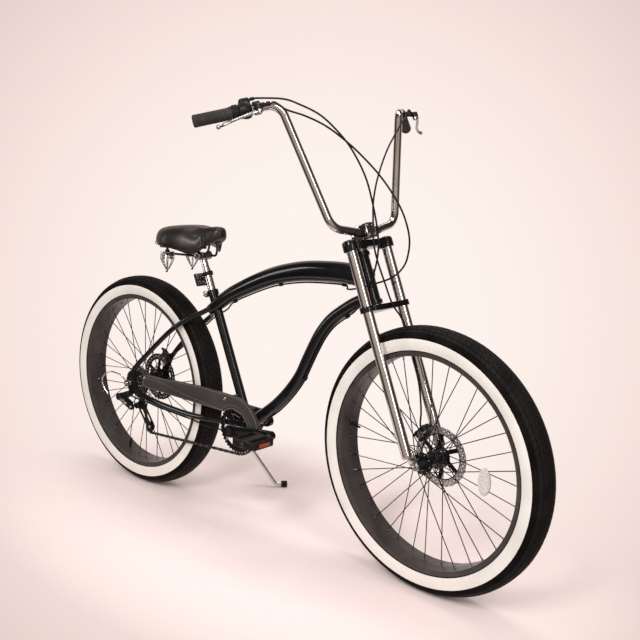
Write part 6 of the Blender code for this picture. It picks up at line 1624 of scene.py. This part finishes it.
def build_lamp(name, place, target, size, power):
    data = bpy.data.lights.new(name, "AREA")
    data.shape = "RECTANGLE"
    data.size, data.size_y = size
    data.energy = power
    lamp = bpy.data.objects.new(name, data)
    direction = Vector(place) - Vector(target)
    lamp.matrix_world = Matrix.Translation(place) @ direction.to_track_quat("Z", "Y").to_matrix().to_4x4()
    bpy.context.scene.collection.objects.link(lamp)
    return lamp


def build_floor(look):
    work = bmesh.new()
    bmesh.ops.create_circle(work, cap_ends=True, segments=96, radius=3.2)
    mesh = bpy.data.meshes.new("studio_floor")
    work.to_mesh(mesh)
    work.free()
    floor = bpy.data.objects.new("studio_floor", mesh)
    bpy.context.scene.collection.objects.link(floor)
    finish = Finish(bpy.data.materials.new("studio_floor_finish"))
    scaled = finish.node("ShaderNodeVectorMath", {"operation": "MULTIPLY"},
                         {0: finish.place, 1: (1.0, 1.7, 1.0)})
    span = finish.node("ShaderNodeVectorMath", {"operation": "LENGTH"}, {0: scaled}, "Value")
    grain = finish.between(finish.noise(35.0, 4.0), 0.35, 0.65)
    tone = finish.mix(grain, tuple(look.backdrop), tuple(value * 0.985 for value in look.backdrop))
    finish.set(base_color=tone, roughness=0.9, specular_ior_level=0.0)
    clear = finish.node("ShaderNodeBsdfTransparent")
    fade = finish.between(span, 0.7, 1.2)
    body = Wire(finish, finish.shader.outputs[0])
    mixed = finish.node("ShaderNodeMixShader", {}, {0: fade, 1: body, 2: clear})
    output = finish.tree.nodes["Material Output"]
    finish.tree.links.new(mixed.socket, output.inputs["Surface"])
    mesh.materials.append(finish.owner)
    return floor


def build_world(look):
    """Pale backdrop for the camera with a painted pool of light, brightest straight ahead and darker towards
    the view's corners; that backdrop and a dim room for reflections, even light for the rest.
    """
    world = bpy.data.worlds.new("studio_world")
    bpy.context.scene.world = world
    sky = Finish(world)
    ahead = tuple(-camera_place().to_3x3().col[2])
    toward = sky.node("ShaderNodeVectorMath", {"operation": "DOT_PRODUCT"},
                      {0: sky.node("ShaderNodeTexCoord", output="Generated"), 1: ahead}, "Value")
    share = toward * 0.5 + 0.5
    # Painted light on the backdrop seen by the camera: brightest straight ahead of it, darker towards the
    # corners of the view
    backdrop = sky.node("ShaderNodeValToRGB", {"stops": ((0.9475, (0.79, 0.644, 0.604)),
                                                         (0.9715, (0.93, 0.776, 0.73)),
                                                         (0.994, (0.99, 0.9, 0.845)))}, {0: share})
    mirrored = sky.node("ShaderNodeValToRGB", {"stops": ((0.0, (0.52, 0.42, 0.35)), (0.2, (0.46, 0.365, 0.3)),
                                                         (0.325, (0.09, 0.068, 0.055)),
                                                         (0.575, (0.03, 0.022, 0.018)),
                                                         (0.725, (0.09, 0.065, 0.053)),
                                                         (0.8, (0.75, 0.62, 0.58)),
                                                         (0.9475, (0.79, 0.644, 0.604)),
                                                         (0.994, (0.99, 0.9, 0.845)))}, {0: share})
    camera, glossy, glass = [sky.node("ShaderNodeLightPath", output=name)
                             for name in ("Is Camera Ray", "Is Glossy Ray", "Is Transmission Ray")]
    even = (look.room_light, look.room_light * 0.985, look.room_light * 0.97)
    sky.set(color=sky.mix(camera, sky.mix(sky.between(glossy + glass, 0, 1), even, mirrored), backdrop))


def build_stage(look):
    bpy.context.scene.view_settings.view_transform = "Standard"
    build_camera()
    build_world(look)
    target = (0.1, 0, 0.6)
    lamps = [build_lamp("key_lamp", (0.9, -2.4, 2.4), target, (0.5, 1.3), look.lamp_power),
             build_lamp("side_lamp", (-2.4, -1.9, 1.4), target, (0.35, 2.0), look.lamp_power * 0.25),
             build_lamp("top_lamp", (0.0, 0.5, 3.0), target, (2.2, 0.5), look.lamp_power * 0.4),
             build_lamp("front_lamp", (2.6, -0.9, 1.5), target, (0.3, 1.8), look.lamp_power * 0.3)]
    build_floor(look)


# Add-on

class CruiserLook(bpy.types.PropertyGroup):
    round_steps: bpy.props.IntProperty(name="Round Steps", description="Sides of the round pieces",
                                       default=64, min=24, max=96)
    tread_blocks: bpy.props.IntProperty(name="Tread Blocks",
                                        description="Blocks in each row of a tyre's tread", default=120,
                                        min=60, max=160)
    spoke_radius: bpy.props.FloatProperty(name="Spoke Radius", description="Half the thickness of a spoke",
                                          default=0.0013, min=0.0008, max=0.0016, unit="LENGTH", precision=4)
    lamp_power: bpy.props.FloatProperty(name="Lamp Power", description="Power of the main lamp in watts",
                                        default=60.0, min=5.0, max=400.0)
    room_light: bpy.props.FloatProperty(name="Room Light", description="Brightness of the even room light",
                                        default=0.55, min=0.0, max=2.0)
    backdrop: bpy.props.FloatVectorProperty(name="Backdrop",
                                            description="Colour of the floor under the bicycle",
                                            default=(0.91, 0.745, 0.715), subtype="COLOR", size=3, min=0.0,
                                            max=1.0)


class BuildStep:
    """Runs the builders of one operator."""
    builders = ()

    def execute(self, context):
        for builder in self.builders:
            builder(context.scene.cruiser_look)
        return {"FINISHED"}


class CRUISER_OT_wheels(BuildStep, bpy.types.Operator):
    """Build both wheels with their tyres, spokes, brake discs and sprockets"""
    bl_idname = "cruiser.wheels"
    bl_label = "Wheels"
    builders = (build_wheels, build_cassette, build_axles)


class CRUISER_OT_frame(BuildStep, bpy.types.Operator):
    """Build the frame's tubes and stays"""
    bl_idname = "cruiser.frame"
    bl_label = "Frame"
    builders = (build_frame,)


class CRUISER_OT_seat(BuildStep, bpy.types.Operator):
    """Build the padded saddle, its springs, post, clamp and the tail reflector"""
    bl_idname = "cruiser.seat"
    bl_label = "Seat"
    builders = (build_saddle, build_seat_post, build_saddle_springs, build_rear_reflector)


class CRUISER_OT_fork(BuildStep, bpy.types.Operator):
    """Build the double-crown fork, the riser bar and its clamp"""
    bl_idname = "cruiser.fork"
    bl_label = "Fork and Handlebar"
    builders = (build_crowns, build_fork, build_handlebar)


class CRUISER_OT_controls(BuildStep, bpy.types.Operator):
    """Build the grips, gear twister, brake levers and brake bodies"""
    bl_idname = "cruiser.controls"
    bl_label = "Controls and Brakes"
    builders = (build_grips, build_shifter, build_levers, build_calipers)


class CRUISER_OT_drive(BuildStep, bpy.types.Operator):
    """Build the cranks, pedals, chain, gear changer and chain cover"""
    bl_idname = "cruiser.drive"
    bl_label = "Drive Train"
    builders = (build_cranks, build_pedals, build_chain, build_derailleur, build_chainguard)


class CRUISER_OT_stand(BuildStep, bpy.types.Operator):
    """Build the side stand and its mount"""
    bl_idname = "cruiser.stand"
    bl_label = "Side Stand"
    builders = (build_stand,)


class CRUISER_OT_cables(BuildStep, bpy.types.Operator):
    """Build the gear and brake cables"""
    bl_idname = "cruiser.cables"
    bl_label = "Cables"
    builders = (build_cables, build_clips)


class CRUISER_OT_stage(BuildStep, bpy.types.Operator):
    """Set up the camera, lamps, floor and backdrop"""
    bl_idname = "cruiser.stage"
    bl_label = "Stage"
    builders = (build_stage,)


STEPS = (CRUISER_OT_wheels, CRUISER_OT_frame, CRUISER_OT_seat, CRUISER_OT_fork, CRUISER_OT_controls,
         CRUISER_OT_drive, CRUISER_OT_stand, CRUISER_OT_cables, CRUISER_OT_stage)


class CRUISER_PT_panel(bpy.types.Panel):
    """Sidebar panel with the build steps and their values"""
    bl_idname = "CRUISER_PT_panel"
    bl_label = "Beach Cruiser"
    bl_space_type = "VIEW_3D"
    bl_region_type = "UI"
    bl_category = "Cruiser"

    def draw(self, context):
        look = context.scene.cruiser_look
        for name in look.bl_rna.properties.keys():
            if name not in ("rna_type", "name"):
                self.layout.prop(look, name)
        for step in STEPS:
            self.layout.operator(step.bl_idname)


CLASSES = (CruiserLook, *STEPS, CRUISER_PT_panel)


def register():
    for kind in CLASSES:
        bpy.utils.register_class(kind)
    bpy.types.Scene.cruiser_look = bpy.props.PointerProperty(type=CruiserLook)


def unregister():
    del bpy.types.Scene.cruiser_look
    for kind in reversed(CLASSES):
        bpy.utils.unregister_class(kind)


def main():
    register()
    bpy.ops.cruiser.wheels()
    bpy.ops.cruiser.frame()
    bpy.ops.cruiser.seat()
    bpy.ops.cruiser.fork()
    bpy.ops.cruiser.controls()
    bpy.ops.cruiser.drive()
    bpy.ops.cruiser.stand()
    bpy.ops.cruiser.cables()
    bpy.ops.cruiser.stage()


if __name__ == "__main__":
    main()
